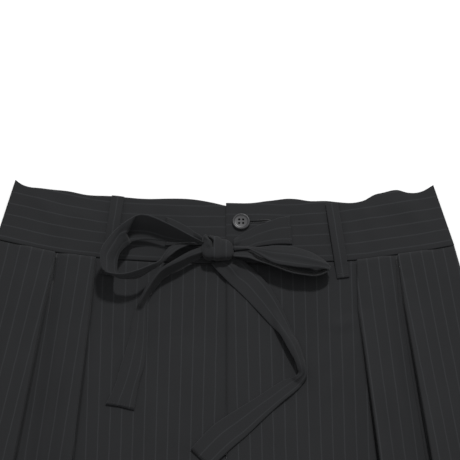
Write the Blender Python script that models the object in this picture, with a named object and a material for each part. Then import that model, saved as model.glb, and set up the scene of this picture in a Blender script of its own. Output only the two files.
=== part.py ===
"""Wide pleated hakama trousers, laid flat on their back with the ties in a bow.

+X is the viewer's right, which is the wearer's left; +Y points to the waist; +Z is up.
The origin is under the middle of the garment. All sizes below are in millimetres.
"""

import math

import bpy
import numpy as np

MM = 0.001

# Cloth
CLOTH = 1.2
BAND = 1.6
STRAP = 1.5
GAP = 0.3
LAYER = CLOTH + GAP

# Heights of undersides above the floor
LOOP_FLOOR = 0.0
BACK_BAND_FLOOR = LOOP_FLOOR + CLOTH + GAP
FRONT_BAND_FLOOR = BACK_BAND_FLOOR + BAND + GAP
FRONT_BAND_TOP = FRONT_BAND_FLOOR + BAND
BACK_LEG_RISE = BACK_BAND_FLOOR
RISE_ENDS = (0.035, 0.085)

# Waist and legs; the middle of the waistband's top edge is (0, 0)
SEAM_MIDDLE = -62.0
HEM_MIDDLE = -945.0
HEM_HALF = 424.0
HEM_LIFT = 49.0
HEM_INNER = 15.0
CROTCH = -370.0
FLY_END = -240.0
FLY_FLAT = -275.0
UNDERLAP_BAND = 32.0
UNDERLAP_FLY = 15.0
SEAM_GAP = 0.15

# Outline of the waist: share of the half width, height of the top edge, height of the seam
WAIST_RIGHT = (
    (0.0, -1.6, -62.0),
    (0.066, 1.9, -62.0),
    (0.14, 4.8, -61.9),
    (0.40, 6.0, -59.2),
    (0.55, 8.8, -56.6),
    (0.66, 10.0, -53.4),
    (0.75, 14.0, -50.2),
    (0.82, 15.6, -46.8),
    (0.88, 17.2, -43.4),
    (0.94, 18.8, -40.1),
    (0.975, 21.9, -38.2),
    (1.0, 26.2, -36.9),
)
WAIST_LEFT = (
    (0.0, 0.6, -62.0),
    (0.13, 0.6, -61.8),
    (0.21, 3.1, -61.6),
    (0.30, 6.0, -61.2),
    (0.345, 5.4, -61.0),
    (0.395, 3.6, -60.7),
    (0.49, 3.5, -60.1),
    (0.535, 2.4, -59.6),
    (0.625, 1.9, -57.5),
    (0.668, 4.3, -56.0),
    (0.7125, 10.0, -54.4),
    (0.757, 12.4, -52.9),
    (0.83, 15.2, -50.4),
    (0.875, 12.1, -48.8),
    (0.948, 14.0, -45.6),
    (1.0, 20.6, -43.2),
)
TOP_HALF = {"right": 200.8, "left": 197.6}
SEAM_HALF = {"right": 218.4, "left": 216.6}
SIGN = {"right": -1.0, "left": 1.0}
WAIST = {"right": WAIST_RIGHT, "left": WAIST_LEFT}

# Pleats: distance of each fold from the middle at the seam, at the bend and at the hem
PLEATS = {
    "right": ((126.0, 131.2, 213.0), (165.0, 174.0, 318.0)),
    "left": ((127.0, 128.5, 224.0), (166.0, 172.0, 304.0)),
}
PLEAT_BEND = 0.06
PLEAT_DEPTH = (24.0, 36.0)
PLEAT_SHOULDER = 3.0
PLEAT_SLOPE = 10.0
LEG_ROWS = (0.0, 0.02, 0.035, 0.06, 0.085, 0.13, 0.2, 0.235, 0.3, 0.35, 0.5, 0.75, 1.0)

# Belt loops: middle of the top end, middle of the lower end
LOOP_WIDTH = 12.0
LOOP_ARCH = 2.0
FRONT_LOOPS = {"right": ((-102.8, 8.0), (-113.5, -75.0)), "left": ((100.4, 0.5), (111.0, -78.0))}
BACK_LOOPS = {"right": (-110.0, 8.0), "centre": (0.0, 0.0), "left": (112.0, 0.5)}
BACK_LOOP_LENGTH = 76.0

# Button, thread shank and buttonhole
BUTTON_AT = (15.2, -20.6)
BUTTON_RADIUS = 8.6
BUTTON_HEIGHT = 2.6
BUTTON_DISH = 0.7
RIM_WIDTH = 1.9
EYE_RADIUS = 0.85
EYE_SPREAD = 2.0
SHANK_RADIUS = 1.3
HOLE_LENGTH = 27.0
HOLE_WIDTH = 3.4
HOLE_SLANT = math.radians(3.5)

# Knot: middle, half sizes
KNOT_AT = (-7.6, -56.5, 16.0)
KNOT_HALF = (13.8, 14.8, 6.6)

# Ties. A row is a place along the strap: outer edge, middle and inner edge, each (x, y, z).
# A z of 0 lies on the cloth below.
BOW_LOOP_RIGHT = (
    ((-21, -47, 19), (-21, -48, 17), (-21, -49.5, 15)),
    ((-31, -43, 22), (-31, -43.7, 15.5), (-31, -44.6, 14)),
    ((-44, -36.3, 25), (-44, -43.1, 12.5), (-44, -43.9, 12)),
    ((-57, -29.9, 27), (-57, -40.7, 11.5), (-57, -42.5, 11.5)),
    ((-71, -23.5, 28), (-71, -36.4, 11.5), (-71, -40.6, 11)),
    ((-80, -22, 28.5), (-80, -35.2, 11.5), (-80, -40.9, 11)),
    ((-85, -23.4, 28.5), (-93, -34.8, 12.5), (-88.8, -43.1, 11.5)),
    ((-86.8, -24.2, 28.5), (-95, -40.2, 22.5), (-91.5, -47.5, 15.5)),
    ((-96.9, -31.3, 28.5), (-100.7, -43.5, 25), (-95.5, -52, 17.5)),
    ((-107.4, -41.5, 28), (-105.5, -53.5, 26), (-100.7, -59.9, 19.5)),
    ((-117.3, -56.6, 28), (-111.2, -65.5, 26.5), (-102.6, -69.7, 20)),
    ((-118.9, -67.7, 28), (-111.2, -74.2, 27), (-102.6, -77.3, 20.5)),
    ((-115.5, -81, 28.5), (-110.2, -82.8, 27.5), (-101.7, -80.7, 21)),
    ((-99, -84.6, 29), (-98.5, -88, 25), (-98, -84.2, 19)),
    ((-84.4, -81, 29), (-84, -85, 23.5), (-84, -84.5, 18)),
    ((-71, -73.9, 26.5), (-71, -77, 21.5), (-71, -75.8, 17)),
    ((-62.5, -67, 22), (-62, -69, 19.5), (-61.5, -69, 17)),
    ((-55, -53, 15), (-54, -58, 16), (-53, -61.5, 16)),
    ((-46, -47.5, 9.5), (-45, -52, 13.5), (-44, -56, 15)),
    ((-34, -45, 9.5), (-33, -48, 12), (-33, -51, 13)),
    ((-21, -44, 10), (-21, -46, 11), (-21, -49, 12)),
)
BOW_LOOP_LEFT = (
    ((7, -49, 15), (7, -51, 16), (7, -53, 16)),
    ((14, -49, 14), (14, -51, 15.5), (14, -53, 16)),
    ((21, -49.5, 14), (21, -51.5, 16), (21, -53.4, 17)),
    ((29.5, -51.3, 17), (29.5, -55, 18.5), (29.5, -59.1, 19)),
    ((44, -51.2, 19), (44, -60.5, 21), (44.7, -69.8, 21.5)),
    ((61, -52, 19.5), (61, -63, 22), (60.8, -74, 22.5)),
    ((75, -55.7, 19.5), (75.5, -66, 22.5), (75, -75.9, 22.5)),
    ((87, -61.5, 18.5), (88, -69, 22), (87, -76.2, 22)),
    ((96, -66, 13), (98, -71, 17), (97, -76.5, 20)),
    ((91, -62, 7), (92, -71, 13), (93, -80.2, 20)),
    ((84, -59, 3), (84, -71, 12), (84.5, -82.8, 21)),
    ((75, -57, 0), (75, -70, 11.5), (75, -82.2, 22)),
    ((61, -55, 0), (61, -67, 11), (61, -79.1, 22)),
    ((44, -53, 0), (44, -62.5, 11), (43.7, -71.7, 21)),
    ((31, -53, 9), (31, -60, 14), (31.3, -67.3, 19.5)),
    ((21, -54, 12.5), (21.5, -58.5, 15.5), (21.8, -63.4, 18)),
    ((13, -54.9, 13), (13, -58, 15), (13, -61.7, 17)),
    ((7, -55.5, 13.5), (7, -58, 14.5), (7, -60.6, 16)),
)
TIE_BASE_LEFT = (
    ((61, -13, 0), (62, -28, 0), (63, -43, 0)),
    ((51, -15, 0), (51, -29, 0), (51, -43, 0)),
    ((42, -19, 0), (40, -32, 0), (38, -45, 0)),
    ((30, -24, 0), (29, -36, 0), (28, -47, 0)),
    ((23, -28, 0), (23, -39, 0), (23, -49, 0)),
    ((13, -33, 10), (13, -42, 10), (14, -50, 0)),
    ((7, -39, 12), (7, -45, 12), (7, -51, 10)),
)
TIE_BASE_RIGHT = (
    ((-57, -14, 0), (-57, -29, 0), (-58, -45, 0)),
    ((-48, -18, 0), (-48, -31, 0), (-48, -44, 0)),
    ((-36, -25, 0), (-36, -34, 0), (-36, -44, 0)),
    ((-27, -33, 9), (-27, -39, 8), (-27, -44, 0)),
    ((-22, -38, 10), (-22, -41, 9), (-22, -43, 0)),
)
TIE_TAIL_RIGHT = (
    ((-22, -51, 18), (-22, -53, 15), (-22, -54, 11)),
    ((-34, -58, 20.5), (-33, -61, 15), (-32, -64.5, 9)),
    ((-45, -64, 21.5), (-43, -68.5, 15), (-41.5, -71, 8)),
    ((-55.5, -72.5, 21.5), (-54.5, -75.5, 17.5), (-52.5, -77.5, 0)),
    ((-64.3, -78.5, 20.5), (-63.6, -79.5, 20.8), (-60, -84, 0)),
    ((-71.5, -86.3, 17), (-69.8, -87.6, 20), (-63.5, -89, 0)),
    ((-77.5, -93, 13), (-73.8, -95.4, 18), (-67.5, -96, 0)),
    ((-81.5, -99.5, 9.5), (-77.7, -102, 15.5), (-71.5, -101.5, 0)),
    ((-86.3, -112, 0), (-82.5, -110, 12), (-75.5, -106.5, 0)),
    ((-87, -117, 0), (-81.5, -116, 0), (-75, -114, 0)),
    ((-89, -127, 0), (-82, -128, 0), (-75, -130, 0)),
    ((-92, -145, 0), (-84, -146, 0), (-75, -148, 0)),
    ((-99, -170, 0), (-88, -170, 0), (-77, -170, 0)),
    ((-104, -189, 0), (-93, -189, 0), (-82, -189, 0)),
    ((-113, -209, 0), (-100, -211, 0), (-86, -215, 0)),
)
TIE_TAIL_LEFT = (
    ((-14, -64, 0), (-5, -62, 0), (6, -58, 0)),
    ((-8, -72, 0), (5, -66, 9), (16, -61, 0)),
    ((2, -83, 0), (12, -75, 7), (23, -67, 0)),
    ((12, -93, 0), (22, -84, 0), (31, -75, 0)),
    ((25, -107, 0), (34, -99, 0), (43, -90, 0)),
    ((39, -123, 0), (47, -118, 6), (54, -112, 0)),
    ((50, -137, 8), (56, -135, 9), (62, -131, 0)),
    ((58, -153, 10), (64, -150, 10), (68, -145, 5)),
    ((65, -167, 10), (69, -164, 10), (73, -160, 5)),
    ((67, -174, 9), (71, -172, 10), (75, -170, 7)),
    ((68, -178, 7), (72, -179, 8), (76, -180, 6)),
    ((63, -181, 5), (67, -184, 6), (72, -188, 4)),
    ((54, -184, 0), (59, -190, 0), (65, -196, 0)),
    ((37, -196, 0), (45, -202, 0), (52, -208, 0)),
    ((20, -208, 0), (28, -216, 0), (36, -224, 0)),
    ((4, -219, 0), (12, -230, 0), (20, -241, 0)),
    ((-13, -232, 0), (-4, -243, 0), (6, -254, 0)),
    ((-33, -255, 0), (-24, -265, 0), (-15, -275, 0)),
)

TOP = max(row[1] for row in WAIST_RIGHT)
MIDDLE_Y = (TOP + HEM_MIDDLE) / 2


def cloth_material():
    """Charcoal wool."""
    material = bpy.data.materials.new("charcoal pinstripe cloth")
    material.use_nodes = True
    shader = material.node_tree.nodes["Principled BSDF"]
    shader.inputs["Base Color"].default_value = (0.026, 0.027, 0.029, 1.0)
    shader.inputs["Roughness"].default_value = 0.85
    return material


def button_material():
    """Dark grey moulded plastic."""
    material = bpy.data.materials.new("grey button")
    material.use_nodes = True
    shader = material.node_tree.nodes["Principled BSDF"]
    shader.inputs["Base Color"].default_value = (0.12, 0.12, 0.125, 1.0)
    shader.inputs["Roughness"].default_value = 0.3
    return material


def ramp(value, rise_from, rise_to):
    """0 before the first value, 1 after the second, a straight slope between."""
    return np.clip((value - rise_from) / (rise_to - rise_from), 0.0, 1.0)


def waist_line(side, share, column):
    """Height of the waist's top edge (column 1) or seam (column 2) at a share of the half width."""
    table = np.array(WAIST[side])
    return np.interp(share, table[:, 0], table[:, column])


def hem_line(share):
    """Height of the hem: a shallow bow, highest at the side seam."""
    return HEM_MIDDLE + HEM_LIFT * share**2


def down_share(y):
    """How far down the leg a height lies, 0 at the seam's middle and 1 at the hem's."""
    return (SEAM_MIDDLE - y) / (SEAM_MIDDLE - HEM_MIDDLE)


def leg_floor(down):
    """Underside of the back leg: flat on the floor, and lifted by the belt loops near the waist."""
    return BACK_LEG_RISE * (1.0 - ramp(down, *RISE_ENDS))


def fly_step(x, flat_from, flat_to):
    """1 over the part of the overlap that lies on the other half, 0 away from it."""
    return ramp(x, -1.0, 0.0) * (1.0 - ramp(x, flat_from, flat_to))


def cloth_top(x, y):
    """Top of the front cloth that a tie lies on, with a soft step at the waist seam."""
    side = np.where(x < 0, 0, 1)
    seam = np.where(
        side == 0,
        waist_line("right", np.abs(x) / SEAM_HALF["right"], 2),
        waist_line("left", np.abs(x) / SEAM_HALF["left"], 2),
    )
    band = FRONT_BAND_TOP + (BAND + GAP) * fly_step(x, UNDERLAP_BAND + 4, UNDERLAP_BAND + 24)
    leg = leg_floor(down_share(y)) + 2 * CLOTH + GAP
    leg = leg + LAYER * fly_step(x, UNDERLAP_FLY + 2, UNDERLAP_FLY + 20) * ramp(y, FLY_FLAT - 20, FLY_FLAT)
    on_band = ramp(y - seam, -12.0, -2.0)
    return leg + (band - leg) * on_band


def add_mesh(name, points, faces, material):
    """One closed body, its faces turned outwards, in metres about the garment's middle."""
    placed = (np.asarray(points, float) - (0.0, MIDDLE_Y, 0.0)) * MM
    mesh = bpy.data.meshes.new(name)
    mesh.from_pydata(placed.tolist(), [], faces)
    mesh.update()
    volume = 0.0
    for polygon in mesh.polygons:
        volume += polygon.area * polygon.center.dot(polygon.normal)
    if volume < 0:
        mesh.flip_normals()
    mesh.materials.append(material)
    thing = bpy.data.objects.new(name, mesh)
    bpy.context.scene.collection.objects.link(thing)
    return thing


def add_wall(name, low, high, material):
    """A wall of cloth between two grids of points of the same shape (rows, columns, 3)."""
    rows, columns = low.shape[:2]
    index = np.arange(rows * columns).reshape(rows, columns)
    above = index + rows * columns
    faces = []
    for i in range(rows - 1):
        for j in range(columns - 1):
            faces.append((index[i, j], index[i + 1, j], index[i + 1, j + 1], index[i, j + 1]))
            faces.append((above[i, j], above[i, j + 1], above[i + 1, j + 1], above[i + 1, j]))
    edge = list(index[0]) + list(index[1:, -1]) + list(index[-1, -2::-1]) + list(index[-2:0:-1, 0])
    for i, here in enumerate(edge):
        there = edge[(i + 1) % len(edge)]
        faces.append((here, there, there + rows * columns, here + rows * columns))
    points = np.concatenate([low.reshape(-1, 3), high.reshape(-1, 3)])
    return add_mesh(name, points, [tuple(int(i) for i in face) for face in faces], material)


def add_upright_wall(name, under, thickness, material):
    """A wall whose underside is the given grid, as thick everywhere, measured upwards."""
    return add_wall(name, under, under + (0.0, 0.0, thickness), material)


def add_strap(name, table, material):
    """A strap along a table's rows, smoothed between them, as thick on each side of its middle.

    Where it lies on the cloth, each row is level, at the highest cloth under it and its neighbours.
    """
    rows = np.array(table, float)
    middle = smooth_along(rows, 2)
    rest = cloth_top(middle[..., 0], middle[..., 1]).max(axis=1) + GAP + STRAP / 2
    rest = np.maximum(rest, np.maximum(np.append(rest[1:], rest[-1]), np.append(rest[0], rest[:-1])))
    middle[..., 2] = np.maximum(middle[..., 2], rest[:, None])
    along = np.gradient(middle, axis=0)
    across = np.gradient(middle, axis=1)
    normal = np.cross(along, across)
    normal /= np.linalg.norm(normal, axis=2, keepdims=True)
    return add_wall(name, middle - normal * STRAP / 2, middle + normal * STRAP / 2, material)


def smooth_along(rows, steps):
    """Catmull-Rom curves through each column of points, with extra rows between the given ones."""
    before = np.concatenate([rows[:1], rows[:-2]])
    start, end = rows[:-1], rows[1:]
    after = np.concatenate([rows[2:], rows[-1:]])
    parts = []
    for step in range(steps):
        t = step / steps
        parts.append(
            0.5 * (2 * start + (end - before) * t
                   + (2 * before - 5 * start + 4 * end - after) * t**2
                   + (3 * start - before - 3 * end + after) * t**3)
        )
    woven = np.stack(parts, axis=1).reshape(-1, *rows.shape[1:])
    return np.concatenate([woven, rows[-1:]])


def band_grid(side, x_top, x_seam, floor, inset=0.0):
    """Underside of a waistband half: from its top edge down to the seam, at the given places along it."""
    top_share = np.clip(np.abs(x_top) / TOP_HALF[side], 0, 1)
    seam_share = np.clip(np.abs(x_seam) / SEAM_HALF[side], 0, 1)
    top_share = np.where(x_top * SIGN[side] < 0, 0.0, top_share)
    seam_share = np.where(x_seam * SIGN[side] < 0, 0.0, seam_share)
    top = np.stack([x_top, waist_line(side, top_share, 1) - inset, floor], axis=1)
    seam = np.stack([x_seam, waist_line(side, seam_share, 2) + GAP / 2, floor], axis=1)
    down = np.linspace(0.0, 1.0, 3)[:, None, None]
    return top + (seam - top) * down


def add_waistbands(material):
    """The back band in one piece, the front under half with its extension, and the front over half."""
    share = np.linspace(0.0, 1.0, 27)
    x_top = np.concatenate([-TOP_HALF["right"] * share[::-1], TOP_HALF["left"] * share[1:]])
    x_seam = np.concatenate([-SEAM_HALF["right"] * share[::-1], SEAM_HALF["left"] * share[1:]])
    floor = np.full(len(x_top), BACK_BAND_FLOOR)
    right_half = band_grid("right", x_top, x_seam, floor, 1.0)
    left_half = band_grid("left", x_top, x_seam, floor, 1.0)
    whole = np.where(x_top[None, :, None] < -1e-6, right_half, left_half)
    add_upright_wall("waistband_back", whole, BAND, material)

    under_x = np.concatenate([[UNDERLAP_BAND, UNDERLAP_BAND / 2, 0.0], -TOP_HALF["right"] * share[1:]])
    under_seam = np.concatenate([[UNDERLAP_BAND, UNDERLAP_BAND / 2, 0.0], -SEAM_HALF["right"] * share[1:]])
    floor = np.full(len(under_x), FRONT_BAND_FLOOR)
    under = band_grid("right", under_x, under_seam, floor)
    add_upright_wall("waistband_front_right", under, BAND, material)

    steps = np.array([0.0, 12.0, 24.0, UNDERLAP_BAND + 4, UNDERLAP_BAND + 14, UNDERLAP_BAND + 24]) / TOP_HALF["left"]
    over_share = np.concatenate([steps, np.linspace(0.34, 1.0, 23)])
    over_x = TOP_HALF["left"] * over_share
    over_seam = SEAM_HALF["left"] * over_share
    lift = (BAND + GAP) * fly_step(over_x, UNDERLAP_BAND + 4, UNDERLAP_BAND + 24)
    over = band_grid("left", over_x, over_seam, FRONT_BAND_FLOOR + lift)
    band = add_upright_wall("waistband_front_left", over, BAND, material)
    cut_buttonhole(band)


def cut_buttonhole(band):
    """A slit with its inner end round the button's shank, running away from the band's free end."""
    start = -SHANK_RADIUS - GAP
    end = HOLE_LENGTH
    half = HOLE_WIDTH / 2
    corners = [(start, -half), (end, -half / 2), (end, half / 2), (start, half)]
    points = []
    for z in (FRONT_BAND_FLOOR - 5.0, FRONT_BAND_TOP + 10.0):
        for along, across in corners:
            x = BUTTON_AT[0] + along * math.cos(HOLE_SLANT) - across * math.sin(HOLE_SLANT)
            y = BUTTON_AT[1] + along * math.sin(HOLE_SLANT) + across * math.cos(HOLE_SLANT)
            points.append((x, y, z))
    faces = [(3, 2, 1, 0), (4, 5, 6, 7), (0, 1, 5, 4), (1, 2, 6, 5), (2, 3, 7, 6), (3, 0, 4, 7)]
    cutter = add_mesh("buttonhole_cutter", points, faces, band.data.materials[0])
    cutter.hide_render = True
    cutter.display_type = "WIRE"
    slit = band.modifiers.new("buttonhole", "BOOLEAN")
    slit.operation = "DIFFERENCE"
    slit.object = cutter


def fold_section(side, down):
    """Middle line of the front leg's cloth across one height: distance out, height of each point.

    From the middle it runs out under the inner pleat, back to its fold, out over it and down again,
    and then the same at the outer pleat.
    """
    low = leg_floor(down) + CLOTH + GAP + CLOTH / 2
    depth = PLEAT_DEPTH[0] + (PLEAT_DEPTH[1] - PLEAT_DEPTH[0]) * down
    folds = [float(np.interp(down, (0.0, PLEAT_BEND, 1.0), places)) for places in PLEATS[side]]
    edge = SEAM_HALF[side] + (HEM_HALF - SEAM_HALF[side]) * down
    height = SEAM_MIDDLE + (HEM_MIDDLE - SEAM_MIDDLE) * down
    inner = SEAM_GAP + (HEM_INNER - SEAM_GAP) * ramp(-height, -CROTCH, -HEM_MIDDLE)
    overlap = float(ramp(height, FLY_END - 8, FLY_END + 8))
    lift = LAYER * float(ramp(height, FLY_FLAT - 20, FLY_FLAT))
    if side == "right":
        out = [inner - (UNDERLAP_FLY + SEAM_GAP) * overlap, inner + 3.0, inner + UNDERLAP_FLY + 20]
        up = [low, low, low]
    else:
        out = [inner, inner + UNDERLAP_FLY + 2, inner + UNDERLAP_FLY + 20]
        up = [low + lift, low + lift, low]
    for share in (0.2, 0.4, 0.6, 0.8):
        out.append(out[2] + (folds[0] + depth - out[2]) * share)
        up.append(low)
    for fold in folds:
        out += [fold + depth, fold + depth, fold, fold]
        up += [low, low + LAYER, low + LAYER, low + 2 * LAYER]
        out += [fold + depth + PLEAT_SHOULDER, fold + depth + PLEAT_SHOULDER + PLEAT_SLOPE]
        up += [low + 2 * LAYER, low]
    out.append(edge)
    up.append(low)
    return np.array(out), np.array(up), edge


def thicken(out, up, thickness):
    """Both sides of a line in a section, set off square to it, with mitred corners."""
    run = np.diff(np.stack([out, up], axis=1), axis=0)
    run /= np.linalg.norm(run, axis=1, keepdims=True)
    square = np.stack([-run[:, 1], run[:, 0]], axis=1)
    first = np.concatenate([square[:1], square])
    last = np.concatenate([square, square[-1:]])
    mitre = (first + last) / (1.0 + np.sum(first * last, axis=1, keepdims=True))
    line = np.stack([out, up], axis=1)
    return line - mitre * thickness / 2, line + mitre * thickness / 2


def leg_height(side, share, down):
    """Height (y) on the leg at a share of its half width and a share of its length."""
    seam = waist_line(side, np.clip(share, 0, 1), 2) - GAP
    return seam + (hem_line(np.clip(share, 0, 1)) - seam) * down


def add_front_leg(side, material):
    """The pleated panel, one section for each row down the leg."""
    lows, highs = [], []
    for down in LEG_ROWS:
        out, up, edge = fold_section(side, down)
        y = leg_height(side, out / edge, down)
        low, high = thicken(out, up, CLOTH)
        lows.append(np.stack([SIGN[side] * low[:, 0], y, low[:, 1]], axis=1))
        highs.append(np.stack([SIGN[side] * high[:, 0], y, high[:, 1]], axis=1))
    add_wall(f"front_leg_{side}", np.array(lows), np.array(highs), material)


def add_back_leg(side, material):
    """The plain panel under it, flat on the floor."""
    rows = []
    for down in LEG_ROWS:
        edge = SEAM_HALF[side] + (HEM_HALF - SEAM_HALF[side]) * down
        height = SEAM_MIDDLE + (HEM_MIDDLE - SEAM_MIDDLE) * down
        inner = SEAM_GAP + (HEM_INNER - SEAM_GAP) * ramp(-height, -CROTCH, -HEM_MIDDLE)
        out = np.linspace(inner, edge, 21)
        y = leg_height(side, out / edge, down)
        rows.append(np.stack([SIGN[side] * out, y, np.full(len(out), leg_floor(down))], axis=1))
    add_upright_wall(f"back_leg_{side}", np.array(rows), CLOTH, material)


def add_belt_loop(name, top, bottom, floor, material):
    """A strip from the waistband's top edge to below the seam, over the given floor."""
    start, end = np.array(top), np.array(bottom)
    run = (end - start) / np.linalg.norm(end - start)
    across = np.array([-run[1], run[0]]) * LOOP_WIDTH / 2
    share = np.array([0.0, 0.08, 0.2, 0.35, 0.5, 0.65, 0.76, 0.84, 0.92, 1.0])
    middle = start + (end - start) * share[:, None]
    edges = np.stack([middle - across, middle + across], axis=1)
    z = floor(edges[..., 0], edges[..., 1], share[:, None] * np.ones(2))
    add_upright_wall(name, np.concatenate([edges, z[..., None]], axis=2), CLOTH, material)


def add_belt_loops(material):
    """Two at the front, standing a little off the band, and three flat ones at the back."""
    def over_front(x, y, share):
        arch = LOOP_ARCH * np.clip(1.0 - ((share - 0.42) / 0.42) ** 2, 0.0, 1.0)
        return cloth_top(x, y) + GAP + arch

    def on_floor(x, y, share):
        return np.full(x.shape, LOOP_FLOOR)

    for side, (top, bottom) in FRONT_LOOPS.items():
        add_belt_loop(f"belt_loop_front_{side}", top, bottom, over_front, material)
    for place, (x, y) in BACK_LOOPS.items():
        top, bottom = (x, y - 2.0), (x * 1.06, y - 2.0 - BACK_LOOP_LENGTH)
        add_belt_loop(f"belt_loop_back_{place}", top, bottom, on_floor, material)


def add_button(material):
    """A turned dish with a raised rim and four eyes, on a thread shank down to the under band."""
    seat = FRONT_BAND_TOP + BAND + GAP + 2 * GAP
    foot = FRONT_BAND_TOP + GAP
    profile = (
        (0.0, foot),
        (SHANK_RADIUS, foot),
        (SHANK_RADIUS, seat),
        (BUTTON_RADIUS - 1.6, seat),
        (BUTTON_RADIUS - 0.4, seat + 0.7),
        (BUTTON_RADIUS, seat + 1.5),
        (BUTTON_RADIUS - 0.5, seat + BUTTON_HEIGHT - 0.2),
        (BUTTON_RADIUS - 1.1, seat + BUTTON_HEIGHT),
        (BUTTON_RADIUS - RIM_WIDTH, seat + BUTTON_HEIGHT - 0.2),
        (BUTTON_RADIUS - RIM_WIDTH - 0.8, seat + BUTTON_HEIGHT - BUTTON_DISH),
        (0.0, seat + BUTTON_HEIGHT - BUTTON_DISH),
    )
    turns = 28
    points = [(BUTTON_AT[0], BUTTON_AT[1], profile[0][1])]
    for radius, z in profile[1:-1]:
        for turn in range(turns):
            angle = 2 * math.pi * turn / turns
            points.append((BUTTON_AT[0] + radius * math.cos(angle), BUTTON_AT[1] + radius * math.sin(angle), z))
    points.append((BUTTON_AT[0], BUTTON_AT[1], profile[-1][1]))
    rings = len(profile) - 2
    faces = []
    for turn in range(turns):
        after = (turn + 1) % turns
        faces.append((0, 1 + after, 1 + turn))
        for ring in range(rings - 1):
            low = 1 + ring * turns
            faces.append((low + turn, low + after, low + turns + after, low + turns + turn))
        last = 1 + (rings - 1) * turns
        faces.append((last + turn, last + after, len(points) - 1))
    button = add_mesh("button", points, faces, material)
    for i, (right, up) in enumerate(((-1, -1), (-1, 1), (1, -1), (1, 1))):
        bpy.ops.mesh.primitive_cylinder_add(
            vertices=12,
            radius=EYE_RADIUS * MM,
            depth=(BUTTON_HEIGHT + 0.6) * MM,
            location=(
                (BUTTON_AT[0] + right * EYE_SPREAD) * MM,
                (BUTTON_AT[1] + up * EYE_SPREAD - MIDDLE_Y) * MM,
                (seat + BUTTON_HEIGHT / 2) * MM,
            ),
        )
        eye = bpy.context.object
        eye.name = f"button_eye_cutter_{i}"
        eye.hide_render = True
        eye.display_type = "WIRE"
        drill = button.modifiers.new(f"eye {i}", "BOOLEAN")
        drill.operation = "DIFFERENCE"
        drill.object = eye


def add_knot(material):
    """The wrapped knot: a plump rounded block, a squared ellipsoid."""
    turns, levels = 20, 9
    points = []
    for level in range(1, levels):
        tilt = math.pi * level / levels - math.pi / 2
        for turn in range(turns):
            angle = 2 * math.pi * turn / turns
            ring = math.cos(tilt) ** 0.7
            x = math.copysign(abs(math.cos(angle)) ** 0.8, math.cos(angle)) * ring
            z = math.copysign(abs(math.sin(angle)) ** 0.8, math.sin(angle)) * ring
            y = math.sin(tilt)
            points.append([KNOT_AT[k] + KNOT_HALF[k] * v for k, v in enumerate((x, y, z))])
    bottom, top = len(points), len(points) + 1
    points.append([KNOT_AT[0], KNOT_AT[1] - KNOT_HALF[1], KNOT_AT[2]])
    points.append([KNOT_AT[0], KNOT_AT[1] + KNOT_HALF[1], KNOT_AT[2]])
    faces = []
    for turn in range(turns):
        after = (turn + 1) % turns
        faces.append((bottom, turn, after))
        for level in range(levels - 2):
            low = level * turns
            faces.append((low + turn, low + turns + turn, low + turns + after, low + after))
        last = (levels - 2) * turns
        faces.append((last + turn, top, last + after))
    add_mesh("tie_knot", points, faces, material)


def main():
    for thing in list(bpy.data.objects):
        bpy.data.objects.remove(thing)
    cloth = cloth_material()
    for side in ("right", "left"):
        add_back_leg(side, cloth)
        add_front_leg(side, cloth)
    add_waistbands(cloth)
    add_belt_loops(cloth)
    add_button(button_material())
    add_knot(cloth)
    add_strap("tie_base_right", TIE_BASE_RIGHT, cloth)
    add_strap("tie_base_left", TIE_BASE_LEFT, cloth)
    add_strap("bow_loop_right", BOW_LOOP_RIGHT, cloth)
    add_strap("bow_loop_left", BOW_LOOP_LEFT, cloth)
    add_strap("tie_tail_right", TIE_TAIL_RIGHT, cloth)
    add_strap("tie_tail_left", TIE_TAIL_LEFT, cloth)


main()
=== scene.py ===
"""Looks of a pair of wide pleated hakama trousers, laid flat on their back with the ties in a bow.

+X is the viewer's right, which is the wearer's left; +Y points to the waist; +Z is up. Tables are in
millimetres, with (0, 0) at the middle of the waistband's top edge. Properties are in metres.
"""

import math

import bpy
import numpy as np
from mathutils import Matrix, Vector


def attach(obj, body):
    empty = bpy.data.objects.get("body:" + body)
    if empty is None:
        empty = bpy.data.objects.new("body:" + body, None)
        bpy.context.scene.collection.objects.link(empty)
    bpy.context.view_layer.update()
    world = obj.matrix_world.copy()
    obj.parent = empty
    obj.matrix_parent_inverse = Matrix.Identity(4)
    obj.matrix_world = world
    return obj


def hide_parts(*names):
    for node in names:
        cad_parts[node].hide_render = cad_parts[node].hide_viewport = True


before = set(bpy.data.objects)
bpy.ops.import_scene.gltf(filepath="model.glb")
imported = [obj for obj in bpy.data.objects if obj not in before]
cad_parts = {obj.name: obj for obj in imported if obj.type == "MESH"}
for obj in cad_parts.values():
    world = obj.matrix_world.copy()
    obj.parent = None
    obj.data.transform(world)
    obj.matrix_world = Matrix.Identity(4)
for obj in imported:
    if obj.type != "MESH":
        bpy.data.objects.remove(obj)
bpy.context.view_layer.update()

bl_info = {
    "name": "Pleated hakama trousers",
    "version": (1, 0, 0),
    "blender": (4, 5, 0),
    "location": "3D View > Sidebar > Hakama",
    "description": "Pinstriped hakama trousers with a waistband, belt loops, button and a tied bow",
    "category": "Object",
}

MM = 0.001
BODY = "root"
SIDES = ("right", "left")
SIGN = {"right": -1.0, "left": 1.0}

# Walls and gaps
CLOTH = 1.2
BAND = 1.6
STRAP = 1.2
GAP = 0.3
LAYER = CLOTH + GAP

# Heights of undersides above the floor
BACK_BAND_FLOOR = CLOTH + GAP
FRONT_BAND_FLOOR = BACK_BAND_FLOOR + BAND + GAP
FRONT_BAND_TOP = FRONT_BAND_FLOOR + BAND
BACK_LEG_RISE = BACK_BAND_FLOOR
RISE_ENDS = (0.035, 0.085)

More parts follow.
